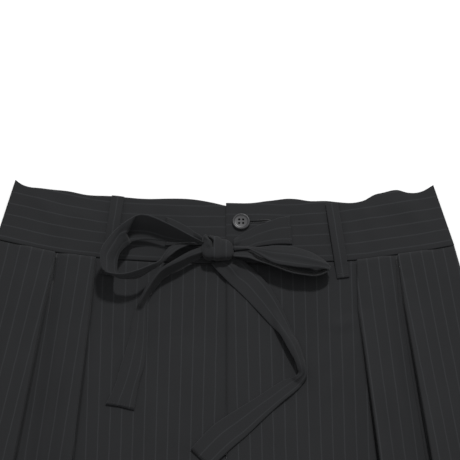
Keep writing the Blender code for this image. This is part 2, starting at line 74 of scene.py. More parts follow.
# Waist and legs
SEAM_MIDDLE = -62.0
HEM_MIDDLE = -945.0
HEM_HALF = 424.0
HEM_LIFT = 49.0
HEM_INNER = 15.0
CROTCH = -370.0
FLY_END = -240.0
FLY_FLAT = -275.0
UNDERLAP_BAND = 32.0
UNDERLAP_FLY = 15.0
SEAM_GAP = 0.15

# How an overlap comes down: flat beyond its edge, end of the fly's slope and of the band's, and how softly
# the fly's overlap ends
LAP_EDGE = 1.0
LAP_EASE = 2.0
LAP_SLOPE = 20.0
BAND_SLOPE = 24.0
FLY_END_EASE = 8.0
SEAM_STEP = (-12.0, -2.0)

# Outline of the waist: share of the half width, height of the top edge, height of the seam
WAIST = {
    "right": (
        (0.0, -1.6, -62.0),
        (0.066, 1.9, -62.0),
        (0.14, 4.8, -61.9),
        (0.40, 6.0, -59.2),
        (0.55, 8.8, -56.6),
        (0.66, 10.0, -53.4),
        (0.75, 14.0, -50.2),
        (0.82, 15.6, -46.8),
        (0.88, 17.2, -43.4),
        (0.94, 18.8, -40.1),
        (0.975, 21.9, -38.2),
        (1.0, 26.2, -36.9),
    ),
    "left": (
        (0.0, 0.6, -62.0),
        (0.13, 0.6, -61.8),
        (0.21, 3.1, -61.6),
        (0.30, 6.0, -61.2),
        (0.345, 5.4, -61.0),
        (0.395, 3.6, -60.7),
        (0.49, 3.5, -60.1),
        (0.535, 2.4, -59.6),
        (0.625, 1.9, -57.5),
        (0.668, 4.3, -56.0),
        (0.7125, 10.0, -54.4),
        (0.757, 12.4, -52.9),
        (0.83, 15.2, -50.4),
        (0.875, 12.1, -48.8),
        (0.948, 14.0, -45.6),
        (1.0, 20.6, -43.2),
    ),
}
TOP_HALF = {"right": 200.8, "left": 197.6}
SEAM_HALF = {"right": 218.4, "left": 216.6}
WAIST_TOP = 26.2
MIDDLE_Y = (WAIST_TOP + HEM_MIDDLE) / 2

# Pleats: distance of each fold from the middle at the seam, at the bend and at the hem
PLEATS = {
    "right": ((126.0, 130.6, 213.0), (165.0, 173.0, 310.0)),
    "left": ((127.0, 128.0, 222.0), (166.0, 171.0, 290.0)),
}
PLEAT_BEND = 0.06
PLEAT_DEPTH = (18.0, 34.0)
PLEAT_SHOULDER = 2.0
PLEAT_SLOPE = 15.0
PLEAT_RELEASE = {"right": (2.0, 2.0), "left": (54.0, 28.0)}
PLEAT_SLOT = {"right": (1.4, 1.6), "left": (2.3, 2.1)}
PLEAT_LIFT = {"right": (5.0, 5.5), "left": (9.0, 8.5)}
PLEAT_LEAN = 1.2
OPENING_LENGTH = {"right": 120.0, "left": 150.0}

# The slot of an open pleat: set back of its wall from the fold, reach of the swell up to its lip, height of
# the swell as a share of the lift, distance over which it starts, and the lip's width, drop and edge
WALL_BACK = 2.0
WALL_EDGE = 0.15
CREST_SHARE = 0.96
SWELL_REACH = 22.0
SWELL_SHARE = 0.35
SWELL_START = 6.0
LIP_WIDTH = 0.5
LIP_DROP = 0.86
LIP_EDGE = 0.2
CREST_PLACES = np.array([0.01, 0.025, 0.05, *np.linspace(0.1, 1.0, 12)])

# Rows of the legs' grids: share of the length with close rows, counts of close and of wide rows
CLOSE_SHARE = 0.3
CLOSE_ROWS = 96
WIDE_ROWS = 70
BACK_LEG_COLUMNS = 80
BACK_STRIPE_FLARE = 0.00035

# Pinstripes of the front leg's panels: lean from upright, place of one stripe at the seam, pitch
PANEL_STRIPES = {
    "right": ((0.020, 7.5, 10.88), (0.131, 126.8, 11.1), (0.213, 160.6, 11.3)),
    "left": ((0.020, 7.7, 11.08), (0.111, 132.9, 11.17), (0.165, 162.65, 10.82)),
}
PITCH = 11.1

# Pinstripes of the front band: height of the first above the seam, then the pitch at a place along it
FIRST_BAND_STRIPE = {"right": 4.4, "left": 5.8}
BAND_PITCH = (
    (-200.0, 11.8),
    (-158.0, 11.4),
    (-119.0, 11.0),
    (0.0, 11.1),
    (72.0, 10.9),
    (131.0, 11.8),
    (200.0, 12.0),
)

# Soft ridges in the legs: ends (x, y) and (x, y), half width, height. Each bows aside by a share of its
# length and eases in and out over shares of it; all fade out near the seam and the hem.
CREASE_BOW = 0.06
CREASE_IN = (-0.12, 0.3)
CREASE_OUT = (0.6, 1.12)
SEAM_FADE = (6.0, 40.0)
HEM_FADE = (850.0, 885.0)
LEG_CREASES = (
    ((-36, -150), (-20, -330), 13, 1.3),
    ((-96, -118), (-74, -260), 9, 1.0),
    ((-70, -205), (-118, -390), 12, 1.6),
    ((34, -128), (26, -290), 14, 1.5),
    ((104, -112), (78, -190), 8, 1.4),
    ((122, -120), (96, -128), 6, 1.0),
    ((62, -230), (96, -420), 13, 1.6),
    ((-152, -150), (-176, -300), 8, 1.0),
    ((-206, -120), (-250, -330), 10, 1.3),
    ((152, -170), (180, -330), 8, 1.0),
    ((214, -140), (236, -280), 10, 1.2),
    ((-10, -380), (-96, -470), 12, 2.2),
    ((10, -376), (110, -480), 13, 2.4),
    ((-140, -420), (-188, -700), 16, 2.2),
    ((-290, -430), (-330, -640), 15, 1.8),
    ((-60, -560), (-84, -800), 17, 2.0),
    ((-240, -690), (-262, -880), 14, 1.8),
    ((150, -440), (166, -660), 15, 2.0),
    ((262, -400), (318, -650), 16, 2.1),
    ((70, -590), (92, -850), 17, 2.0),
    ((226, -700), (240, -900), 14, 1.9),
    ((350, -700), (380, -860), 13, 1.4),
    ((-372, -720), (-392, -850), 12, 1.3),
    ((116, -140), (84, -214), 9, 1.5),
    ((-118, -84), (-98, -150), 9, 0.9),
)
BACK_CREASES = (
    ((-60, -120), (-84, -340), 12, 0.9),
    ((70, -130), (88, -300), 11, 0.8),
    ((-150, -200), (-190, -420), 13, 1.0),
    ((168, -190), (204, -450), 13, 1.1),
    ((-20, -386), (-130, -452), 11, 1.2),
    ((18, -384), (124, -460), 11, 1.1),
    ((-250, -480), (-300, -780), 16, 1.1),
    ((230, -500), (270, -760), 16, 1.2),
    ((-110, -600), (-130, -860), 15, 1.0),
    ((106, -620), (120, -880), 15, 0.9),
)

# Soft ridges in the front waistband
BAND_CREASES = (
    ((-186, 14), (-150, -42), 8, 1.0),
    ((-160, -10), (-118, -20), 7, 0.8),
    ((-70, 2), (-30, -14), 8, 0.6),
    ((60, 0), (96, -34), 9, 0.8),
    ((128, 2), (142, -46), 8, 1.1),
    ((150, 6), (196, -30), 9, 1.3),
    ((168, 12), (182, -8), 7, 1.2),
)

# Belt loops: middle of the top end, middle of the lower end
LOOP_WIDTH = 12.0
LOOP_ARCH = 2.0
LOOP_CREST = 0.42
LOOP_CROWN = 0.35
LOOP_ALONG = np.array([0.0, 0.006, 0.02, *np.linspace(0.04, 0.96, 40), 0.98, 0.994, 1.0])
BACK_LOOP_FLARE = 1.06
BACK_LOOP_DOWN = 2.0
FRONT_LOOPS = {"right": ((-102.8, 8.0), (-113.5, -75.0)), "left": ((100.4, 0.5), (111.0, -78.0))}
BACK_LOOPS = {"right": (-110.0, 8.0), "centre": (0.0, 0.0), "left": (112.0, 0.5)}
BACK_LOOP_LENGTH = 76.0

# Button, thread and buttonhole
BUTTON_AT = (14.4, -20.2)
SHANK_RADIUS = 1.3
HOLE_LENGTH = 27.0
HOLE_WIDTH = 3.4
HOLE_SLANT = math.radians(3.5)
HOLE_ROUND = 0.7
HOLE_NARROW = 0.7
HOLE_NECK = (1.6, 6.0)
HOLE_TURNS = 48
CUT_BEYOND = 4.0
SHARP_ANGLE = math.radians(35)
QUARTERS = ((-1, -1), (-1, 1), (1, -1), (1, 1))

# Profile of the button: distance in from its edge and height above its seat; distance in from its edge and
# depth below its top; distance in from its rim's inner edge and depth below its top
BUTTON_UNDER = ((2.2, 0.0), (1.4, 0.15), (0.5, 0.6), (0.1, 1.0), (0.0, 1.35))
BUTTON_SHOULDER = ((0.15, 0.45), (0.5, 0.12), (0.95, 0.0))
BUTTON_DISH = ((-0.35, 0.08), (0.0, 0.22), (0.4, 0.34), (1.0, 0.37))
DISH_DEPTH = 0.38
BUTTON_TURNS = 72
EYE_TURNS = 20
NEAR_MIDDLE = 0.01

# Heights of the button's underside, of the lower ends of its threads and of their two kinds of upper ends
BUTTON_SEAT = FRONT_BAND_TOP + BAND + 2 * GAP
THREAD_FOOT = FRONT_BAND_TOP + GAP
EYE_THREAD_TOP = BUTTON_SEAT - 0.3
SHANK_TOP = BUTTON_SEAT + 0.7

# Knot: middle, half sizes, taper across, grid, radius on which its cloth's length is counted
KNOT_AT = (-8.0, -51.5, 13.4)
KNOT_HALF = (15.4, 11.5, 5.6)
KNOT_TAPER = 2.5
KNOT_TURNS = 120
KNOT_COLUMNS = 81
KNOT_STRIPE_SHIFT = 2.9
KNOT_RADIUS = 12.0

# Groove across the knot and the plump fold beside it: place, bend, depth or height, half width; the heights
# (y) over which the groove bends, starts and ends
GROOVE_X = -12.8
GROOVE_SHIFT = 4.0
GROOVE_DEPTH = 4.0
GROOVE_HALF = 0.9
FOLD_BESIDE = 3.6
FOLD_HEIGHT = 1.4
FOLD_HALF = 2.4
GROOVE_BEND = (-46.0, -40.0)
GROOVE_IN = (-53.0, -50.0)
GROOVE_OUT = (-39.5, -37.0)

# Ties. A row is a place along the strap: outer edge, middle and inner edge, each (x, y, z).
# A z of 0 lies on the cloth below.
BOW_LOOP_RIGHT = (
    ((-21, -47, 19), (-21, -48, 17), (-21, -49.5, 15)),
    ((-31, -43, 22), (-31, -43.7, 15.5), (-31, -44.6, 14)),
    ((-44, -36.3, 25), (-44, -43.1, 12.5), (-44, -43.9, 12)),
    ((-57, -29.9, 27), (-57, -40.7, 11.5), (-57, -42.5, 11.5)),
    ((-71, -23.5, 28), (-71, -36.4, 11.5), (-71, -40.6, 11)),
    ((-80, -22, 28.5), (-80, -35.2, 11.5), (-80, -40.9, 11)),
    ((-85, -23.4, 28.5), (-93, -34.8, 12.5), (-88.8, -43.1, 11.5)),
    ((-86.8, -24.2, 28.5), (-95, -40.2, 22.5), (-91.5, -47.5, 15.5)),
    ((-96.9, -31.3, 28.5), (-100.7, -43.5, 25), (-95.5, -52, 17.5)),
    ((-107.4, -41.5, 28), (-105.5, -53.5, 26), (-100.7, -59.9, 19.5)),
    ((-117.3, -56.6, 28), (-111.2, -65.5, 26.5), (-102.6, -69.7, 20)),
    ((-118.9, -67.7, 28), (-111.2, -74.2, 27), (-102.6, -77.3, 20.5)),
    ((-115.5, -81, 28.5), (-110.2, -82.8, 27.5), (-101.7, -80.7, 21)),
    ((-99, -84.6, 29), (-98.5, -88, 25), (-98, -84.2, 19)),
    ((-84.4, -81, 29), (-84, -85, 23.5), (-84, -84.5, 18)),
    ((-71, -73.9, 26.5), (-71, -77, 21.5), (-71, -75.8, 17)),
    ((-62.5, -67, 22), (-62, -69, 19.5), (-61.5, -69, 17)),
    ((-55, -51.5, 15), (-54, -56.5, 16), (-53, -60.3, 16)),
    ((-46, -43.8, 9.5), (-45, -48.2, 13), (-44, -52.3, 15)),
    ((-34, -41.5, 9.5), (-33, -44, 12), (-33, -46.8, 13)),
    ((-21, -41.8, 10), (-21, -43.3, 11), (-21, -45, 12)),
)
BOW_LOOP_LEFT = (
    ((7, -49, 15), (7, -51, 16), (7, -53, 16)),
    ((14, -49, 14), (14, -51, 15.5), (14, -53, 16)),
    ((21, -49.5, 14), (21, -51.5, 16), (21, -53.4, 17)),
    ((29.5, -51.3, 17), (29.5, -55, 18.5), (29.5, -59.1, 19)),
    ((44, -51.2, 19), (44, -60.5, 20.6), (44.7, -69.6, 21)),
    ((61, -52, 19.5), (61, -63, 21.4), (60.8, -73.4, 21.3)),
    ((75, -55.7, 19.5), (75.5, -66, 21.8), (75, -75.2, 21.2)),
    ((87, -61.5, 18.5), (88, -69, 21.2), (87, -75.5, 20.6)),
    ((96, -66, 12), (98, -71, 14), (97, -75.2, 17.3)),
    ((91, -63, 7), (92.5, -73, 10), (93, -79, 17.5)),
    ((84, -61, 3), (84, -74.5, 7), (84.5, -81.6, 17.7)),
    ((75, -60, 0), (75, -73.5, 6.5), (75, -81, 18.4)),
    ((61, -57.5, 0), (61, -70.5, 6.5), (61, -78.8, 19.7)),
    ((44, -54, 0), (44, -65, 7.5), (43.7, -72, 20.2)),
    ((31, -53, 7), (31, -61.5, 11), (31.3, -67, 19)),
    ((21, -54, 12.5), (21.5, -58.5, 15.5), (21.8, -63.4, 18)),
    ((13, -54.9, 13), (13, -58, 15), (13, -61.7, 17)),
    ((7, -55.5, 13.5), (7, -58, 14.5), (7, -60.6, 16)),
)
TIE_BASE_LEFT = (
    ((61, -13, 0), (62, -28, 0), (63, -43, 0)),
    ((51, -15, 0), (51, -29, 0), (51, -43, 0)),
    ((42, -19, 0), (40, -32, 0), (38, -45, 0)),
    ((30, -24, 0), (29, -36, 0), (28, -47, 0)),
    ((23, -28, 0), (23, -39, 0), (23, -49, 0)),
    ((13, -34, 6), (13, -42, 8), (14, -50, 0)),
    ((7, -40, 10), (7, -45, 11), (7, -51, 9)),
)
TIE_BASE_RIGHT = (
    ((-57, -14, 0), (-57, -29, 0), (-58, -45, 0)),
    ((-48, -18, 0), (-48, -31, 0), (-48, -44, 0)),
    ((-36, -25, 0), (-36, -34, 0), (-36, -44, 0)),
    ((-27, -33, 9), (-27, -39, 8), (-27, -44, 0)),
    ((-22, -38, 10), (-22, -41, 9), (-22, -43, 0)),
)
TIE_TAIL_RIGHT = (
    ((-22, -49.5, 15), (-22, -55.4, 15), (-22, -57, 10)),
    ((-34, -55.5, 17.2), (-33.5, -60.8, 17), (-33, -62.5, 5)),
    ((-44.5, -62.5, 18.5), (-43.5, -66.7, 18.5), (-42, -68.6, 3)),
    ((-53.5, -68.6, 19), (-52.8, -71.7, 19), (-51, -73.5, 0)),
    ((-60.2, -73.4, 19), (-58.6, -75.2, 19), (-56, -77, 0)),
    ((-65.8, -78.4, 18.2), (-63.6, -79.8, 18.6), (-60.8, -81, 0)),
    ((-70.5, -84.6, 17.2), (-68.2, -85.8, 17.6), (-65, -87, 0)),
    ((-74.8, -91, 15.6), (-72.5, -92.4, 16), (-68.8, -93.4, 0)),
    ((-78.8, -98, 13.6), (-76.8, -99.4, 14), (-72.4, -100, 0)),
    ((-83.4, -106.6, 8), (-80.6, -107, 10), (-74.6, -106.6, 0)),
    ((-87, -117, 0), (-81.5, -116, 0), (-75, -114, 0)),
    ((-89, -127, 0), (-82, -128, 0), (-75, -130, 0)),
    ((-92, -145, 0), (-84, -146, 0), (-75, -148, 0)),
    ((-99, -170, 0), (-88, -170, 0), (-77, -170, 0)),
    ((-104, -189, 0), (-93, -189, 0), (-82, -189, 0)),
    ((-113, -209, 0), (-100, -211, 0), (-86, -215, 0)),
)
TIE_TAIL_LEFT = (
    ((-14, -64, 0), (-5, -62, 0), (6, -58, 0)),
    ((-8, -72, 0), (5, -66, 9), (16, -61, 0)),
    ((2, -83, 0), (12, -75, 7), (23, -67, 0)),
    ((12, -93, 0), (22, -84, 0), (31, -75, 0)),
    ((25, -107, 0), (34, -99, 0), (43, -90, 0)),
    ((39, -123, 0), (47, -118, 6), (54, -112, 0)),
    ((50, -137, 8), (56, -135, 9), (62, -131, 0)),
    ((58, -153, 10), (64, -150, 10), (68, -145, 5)),
    ((65, -167, 10), (69, -164, 10), (73, -160, 5)),
    ((67, -174, 9), (71, -172, 10), (75, -170, 7)),
    ((68, -178, 7), (72, -179, 8), (76, -180, 6)),
    ((63, -181, 5), (67, -184, 6), (72, -188, 4)),
    ((54, -184, 0), (59, -190, 0), (65, -196, 0)),
    ((37, -196, 0), (45, -202, 0), (52, -208, 0)),
    ((20, -208, 0), (28, -216, 0), (36, -224, 0)),
    ((4, -219, 0), (12, -230, 0), (20, -241, 0)),
    ((-13, -232, 0), (-4, -243, 0), (6, -254, 0)),
    ((-33, -255, 0), (-24, -265, 0), (-15, -275, 0)),
)
TIES = {
    "tie_base_right": TIE_BASE_RIGHT,
    "tie_base_left": TIE_BASE_LEFT,
    "bow_loop_right": BOW_LOOP_RIGHT,
    "bow_loop_left": BOW_LOOP_LEFT,
    "tie_tail_right": TIE_TAIL_RIGHT,
    "tie_tail_left": TIE_TAIL_LEFT,
}
TIE_WIDTH = 27.0
TIE_STEPS = 6
SETTLE_ROUNDS = 6
HALF_ACROSS = (0.0, 0.012, 0.035, 0.08, 0.16, 0.25, 0.34, 0.42, 0.465)
TIE_ACROSS = np.array([*HALF_ACROSS, 0.5, 0.535, 0.58, 0.66, 0.75, 0.84, 0.92, 0.965, 0.988, 1.0])
# How sharp the crease along a tie's middle is, from a soft bow to a pressed fold
TIE_FOLD = {
    "tie_base_right": 0.2,
    "tie_base_left": 0.2,
    "bow_loop_right": 0.85,
    "bow_loop_left": 0.4,
    "tie_tail_right": 0.95,
    "tie_tail_left": 0.2,
}

# Soft folds along the ties: share of the length from and to, share of the width, half width, height
TIE_CREASES = {
    "tie_base_right": ((0.0, 0.8, 0.35, 0.12, 0.5), (0.2, 1.0, 0.7, 0.1, 0.7)),
    "tie_base_left": ((0.2, 1.0, 0.3, 0.1, 0.8), (0.35, 1.0, 0.62, 0.12, 0.9), (0.0, 0.5, 0.8, 0.08, 0.3)),
    "bow_loop_right": (
        (0.06, 0.4, 0.2, 0.06, 0.5),
        (0.3, 0.55, 0.36, 0.07, -0.8),
        (0.34, 0.5, 0.7, 0.08, 0.9),
        (0.42, 0.6, 0.22, 0.06, 0.7),
        (0.5, 0.9, 0.75, 0.08, 0.5),
    ),
    "bow_loop_left": (
        (0.02, 0.36, 0.3, 0.09, 0.5),
        (0.1, 0.5, 0.68, 0.1, -0.5),
        (0.4, 0.6, 0.4, 0.08, 0.7),
        (0.6, 1.0, 0.5, 0.1, 0.6),
    ),
    "tie_tail_right": ((0.0, 0.3, 0.3, 0.09, 0.6), (0.35, 0.62, 0.72, 0.1, 0.5), (0.7, 0.98, 0.4, 0.14, 0.5)),
    "tie_tail_left": (
        (0.0, 0.2, 0.4, 0.12, 0.8),
        (0.3, 0.56, 0.3, 0.1, 0.7),
        (0.55, 0.7, 0.65, 0.1, -0.7),
        (0.66, 0.9, 0.35, 0.14, 0.6),
    ),
}

# Stitches: pitch, thread's radius, bow, share of the pitch that shows; distances of the rows from the ends
STITCH_PITCH = 2.4
STITCH_SHOWS = 0.72
STITCH_RADIUS = 0.2
STITCH_BOW = 0.15
TACK_ROWS = (2.0, 4.2)
TACK_INSET = 1.0
TACK_LIFT = 0.25
BASE_STITCH_SHARE = 0.22
HEM_ROWS = (2.6, 3.8)
OVERCAST_COUNT = 110
OVERCAST_REACH = (-0.15, 1.5)
OVERCAST_DIP = 0.25
OVERCAST_LIFT = 0.02
OVERCAST_BOW = 0.35
THREAD_RADIUS = 0.3
THREAD_BOW = 0.3
THREAD_PAIR = (-0.32, 0.32)
SHANK_RING = 0.9
SHANK_THREADS = 6

# Columns of the bands: places down a band, columns of the back band, step along a front band
BAND_DOWN = np.array([0.0, 0.006, 0.02, 0.05, *np.linspace(0.1, 0.9, 16), 0.95, 0.98, 0.994, 1.0])
BACK_BAND_COLUMNS = 141
BACK_BAND_INSET = 1.0
BAND_STEP = 3.0
PLAIN_BAND_STRIPE = 5.0

# Radius of the rounded edges of each kind of sheet, and the share of the wall left at the rim
SHEET_ROUND = 0.9
LEG_ROUND = 0.5
LOOP_ROUND = 0.6
RIM_SHARE = 0.03


def ramp(value, rise_from, rise_to):
    """0 before the first value, 1 after the second, a straight slope between."""
    return np.clip((value - rise_from) / (rise_to - rise_from), 0.0, 1.0)


def ease(value, rise_from, rise_to):
    """The same with soft ends: three times the square of the share less twice its cube."""
    share = ramp(value, rise_from, rise_to)
    return share * share * (3.0 - 2.0 * share)


def waist_line(side, share, column):
    """Height of the waist's top edge (column 1) or seam (column 2) at a share of the half width.

    Cubic curves through the table's points, with the slope at each point taken from its neighbours.
    """
    table = np.array(WAIST[side])
    places, heights = table[:, 0], table[:, column]
    slopes = np.gradient(heights, places)
    index = np.clip(np.searchsorted(places, share) - 1, 0, len(places) - 2)
    span = places[index + 1] - places[index]
    t = np.clip((share - places[index]) / span, 0.0, 1.0)
    return (
        (2 * t**3 - 3 * t**2 + 1) * heights[index]
        + (t**3 - 2 * t**2 + t) * span * slopes[index]
        + (3 * t**2 - 2 * t**3) * heights[index + 1]
        + (t**3 - t**2) * span * slopes[index + 1]
    )


def hem_line(share):
    """Height of the hem: a shallow bow, highest at the side seam."""
    return HEM_MIDDLE + HEM_LIFT * share**2


def down_share(y):
    """How far down the leg a height lies, 0 at the seam's middle and 1 at the hem's."""
    return (SEAM_MIDDLE - y) / (SEAM_MIDDLE - HEM_MIDDLE)


def leg_floor(down):
    """Underside of the back leg: flat on the floor, and lifted by the belt loops near the waist."""
    return BACK_LEG_RISE * (1.0 - ramp(down, *RISE_ENDS))


def fly_step(x, flat_from, flat_to):
    """1 over the part of the overlap that lies on the other half, 0 away from it."""
    return ramp(x, -LAP_EDGE, 0.0) * (1.0 - ramp(x, flat_from, flat_to))


def crease_field(creases, x, y):
    """Height of soft ridges: each a bell across its line, easing to nothing at both of its ends."""
    total = np.zeros(np.broadcast(x, y).shape)
    for (x0, y0), (x1, y1), half_width, height in creases:
        run_x, run_y = x1 - x0, y1 - y0
        length = math.hypot(run_x, run_y)
        share = ((x - x0) * run_x + (y - y0) * run_y) / length**2
        bow = CREASE_BOW * length * np.sin(np.pi * np.clip(share, 0.0, 1.0))
        off = ((x - x0) * run_y - (y - y0) * run_x) / length + bow
        ends = ease(share, *CREASE_IN) * (1.0 - ease(share, *CREASE_OUT))
        total = total + height * ends * np.exp(-((off / half_width) ** 2))
    return total


def crease_fade(y):
    """1 along the leg, easing to nothing at its seam and its hem."""
    return ease(SEAM_MIDDLE - y, *SEAM_FADE) * (1.0 - ease(SEAM_MIDDLE - y, *HEM_FADE))


def back_creases(x, y):
    """Height that the creases of the back layer lift it off the floor."""
    return crease_fade(y) * crease_field(BACK_CREASES, x, y)


def leg_creases(x, y):
    """Height that the creases of both layers add to the front of the legs."""
    return crease_fade(y) * crease_field(LEG_CREASES, x, y) + back_creases(x, y)


def cloth_top(x, y):
    """Top of the front cloth that a tie lies on, with a soft step at the waist seam."""
    seam = np.where(
        x < 0,
        waist_line("right", np.abs(x) / SEAM_HALF["right"], 2),
        waist_line("left", np.abs(x) / SEAM_HALF["left"], 2),
    )
    over = fly_step(x, UNDERLAP_BAND + 2 * LAP_EASE, UNDERLAP_BAND + BAND_SLOPE)
    band = FRONT_BAND_TOP + (BAND + GAP) * over
    leg = leg_floor(down_share(y)) + 2 * CLOTH + GAP + leg_creases(x, y)
    lap = fly_step(x, UNDERLAP_FLY + LAP_EASE, UNDERLAP_FLY + LAP_SLOPE)
    leg = leg + LAYER * lap * ramp(y, FLY_FLAT - LAP_SLOPE, FLY_FLAT)
    return leg + (band - leg) * ramp(y - seam, *SEAM_STEP)


def smooth_along(rows, steps):
    """Catmull-Rom curves through each column of points, with extra rows between the given ones."""
    before = np.concatenate([rows[:1], rows[:-2]])
    start, end = rows[:-1], rows[1:]
    after = np.concatenate([rows[2:], rows[-1:]])
    parts = []
    for step in range(steps):
        t = step / steps
        parts.append(
            0.5 * (2 * start + (end - before) * t
                   + (2 * before - 5 * start + 4 * end - after) * t**2
                   + (3 * start - before - 3 * end + after) * t**3)
        )
    woven = np.stack(parts, axis=1).reshape(-1, *rows.shape[1:])
    return np.concatenate([woven, rows[-1:]])


def unit_normals(grid):
    """Normals of a grid of points: the cross product of its two directions, made one long."""
    normal = np.cross(np.gradient(grid, axis=0), np.gradient(grid, axis=1))
    size = np.linalg.norm(normal, axis=2, keepdims=True)
    return normal / np.maximum(size, 1e-9)


def placed(points):
    """Millimetres of the tables turned into metres about the garment's middle."""
    return (np.asarray(points, float) - (0.0, MIDDLE_Y, 0.0)) * MM


def mesh_object(name, points, faces, material, uv=None):
    """One smooth mesh from metres, its faces turned outwards by the sign of its volume."""
    points = np.asarray(points, float)
    faces = np.asarray(faces)
    corner = points[faces]
    across = np.cross(corner[:, 1] - corner[:, 0], corner[:, 2] - corner[:, 0])
    volume = np.einsum("ij,ij->i", corner[:, 0], across).sum()
    if faces.shape[1] == 4:
        second = np.cross(corner[:, 2] - corner[:, 0], corner[:, 3] - corner[:, 0])
        volume += np.einsum("ij,ij->i", corner[:, 0], second).sum()
    if volume < 0:
        faces = faces[:, ::-1]
    mesh = bpy.data.meshes.new(name)
    mesh.from_pydata(points.tolist(), [], faces.tolist())
    mesh.polygons.foreach_set("use_smooth", np.ones(len(faces), bool))
    if uv is not None:
        layer = mesh.uv_layers.new(name="cloth")
        layer.data.foreach_set("uv", np.asarray(uv, float)[faces.reshape(-1)].reshape(-1))
    mesh.materials.append(material)
    mesh.update()
    thing = bpy.data.objects.new(name, mesh)
    bpy.context.scene.collection.objects.link(thing)
    return thing


def squarer(wave, power):
    """A sine or cosine with its size raised to a power below 1 and its sign kept."""
    return np.sign(wave) * np.abs(wave) ** power


def fan(ring):
    """Triangles that close a ring of indices from its first one."""
    return np.stack([np.full_like(ring[2:], ring[0]), ring[1:-1], ring[2:]], axis=1)


def ring_triangles(index):
    """Triangles of a tube, two a quad: the grid's rows go round it and its columns along it."""
    after = np.roll(index, -1, axis=0)
    quads = np.stack([index[:, :-1], after[:, :-1], after[:, 1:], index[:, 1:]], axis=-1).reshape(-1, 4)
    return np.concatenate([quads[:, [0, 1, 2]], quads[:, [0, 2, 3]]])


def wall_of(name, low, high, uv, material):
    """A closed wall of cloth between two grids of points of the same shape."""
    rows, columns = low.shape[:2]
    index = np.arange(rows * columns).reshape(rows, columns)
    above = index + rows * columns
    under = np.stack([index[:-1, :-1], index[1:, :-1], index[1:, 1:], index[:-1, 1:]], axis=-1)
    over = np.stack([above[:-1, :-1], above[:-1, 1:], above[1:, 1:], above[1:, :-1]], axis=-1)
    rim = np.concatenate([index[0], index[1:, -1], index[-1, -2::-1], index[-2:0:-1, 0]])
    after = np.roll(rim, -1)
    edge = np.stack([rim, after, after + rows * columns, rim + rows * columns], axis=-1)
    faces = np.concatenate([under.reshape(-1, 4), over.reshape(-1, 4), edge])
    points = np.concatenate([low.reshape(-1, 3), high.reshape(-1, 3)])
    both = np.concatenate([uv.reshape(-1, 2), uv.reshape(-1, 2)])
    return mesh_object(name, placed(points), faces, material, both)


def round_edges(distance, radius):
    """Share of the full wall near an edge: a quarter circle from a thin rim up to the full wall."""
    bend = 1.0 - np.clip(distance / radius, 0.0, 1.0)
    return np.sqrt(np.clip(1.0 - bend**2, RIM_SHARE, 1.0))


def sheet_wall(name, middle, uv, wall, material, radius=SHEET_ROUND):
    """A wall whose middle is the given grid, moved out both ways along its normals, edges rounded."""
    step_rows = np.linalg.norm(np.diff(middle, axis=0), axis=2)
    step_columns = np.linalg.norm(np.diff(middle, axis=1), axis=2)
    along = np.concatenate([np.zeros((1, middle.shape[1])), np.cumsum(step_rows, axis=0)])
    across = np.concatenate([np.zeros((middle.shape[0], 1)), np.cumsum(step_columns, axis=1)], axis=1)
    near = np.minimum(np.minimum(along, along[-1:] - along), np.minimum(across, across[:, -1:] - across))
    half = (round_edges(near, radius) * wall / 2)[..., None]
    normal = unit_normals(middle)
    return wall_of(name, middle - normal * half, middle + normal * half, uv, material)


def new_material(name):
    """A material with its shader, ready for nodes."""
    material = bpy.data.materials.new(name)
    material.use_nodes = True
    tree = material.node_tree
    return material, tree, tree.nodes["Principled BSDF"]


def shade(colour, factor=1.0):
    """A colour made darker or paler by a factor, with full alpha."""
    return tuple(channel * factor for channel in colour) + (1.0,)


def math_node(tree, operation, *values):
    """One math node; a value is a number or another node's socket."""
    node = tree.nodes.new("ShaderNodeMath")
    node.operation = operation
    for socket, value in zip(node.inputs, values):
        if isinstance(value, (int, float)):
            socket.default_value = value
        else:
            tree.links.new(value, socket)
    return node.outputs[0]


def mix_colours(tree, factor, first, second):
    """Colour between two, by a number or a socket; each colour is a tuple or a socket."""
    node = tree.nodes.new("ShaderNodeMix")
    node.data_type = "RGBA"
    named = {socket.identifier: socket for socket in node.inputs}
    for key, value in (("Factor_Float", factor), ("A_Color", first), ("B_Color", second)):
        if isinstance(value, bpy.types.NodeSocket):
            tree.links.new(value, named[key])
        else:
            named[key].default_value = value
    return [socket for socket in node.outputs if socket.identifier == "Result_Color"][0]


def noise(tree, vector, scale, detail):
    """Soft noise from 0 to 1."""
    node = tree.nodes.new("ShaderNodeTexNoise")
    node.inputs["Scale"].default_value = scale
    node.inputs["Detail"].default_value = detail
    tree.links.new(vector, node.inputs["Vector"])
    return node.outputs["Fac"]


def plus(tree, first, second):
    """The sum of two values or sockets."""
    return math_node(tree, "ADD", first, second)


def times(tree, first, second):
    """The product of two values or sockets."""
    return math_node(tree, "MULTIPLY", first, second)


def about_zero(tree, value, weight):
    """A value from 0 to 1, less a half, times a weight."""
    return math_node(tree, "MULTIPLY_ADD", value, weight, -weight / 2)


def wave(tree, place, pitch):
    """The sine of a place, once round at every pitch."""
    return math_node(tree, "SINE", times(tree, place, 2 * math.pi / pitch))


def add_bump(tree, shader, height, strength, distance):
    """Relief of the surface from a height of 0 to 1, its distance in millimetres."""
    bump = tree.nodes.new("ShaderNodeBump")
    bump.inputs["Strength"].default_value = strength
    bump.inputs["Distance"].default_value = distance * MM
    tree.links.new(height, bump.inputs["Height"])
    tree.links.new(bump.outputs["Normal"], shader.inputs["Normal"])


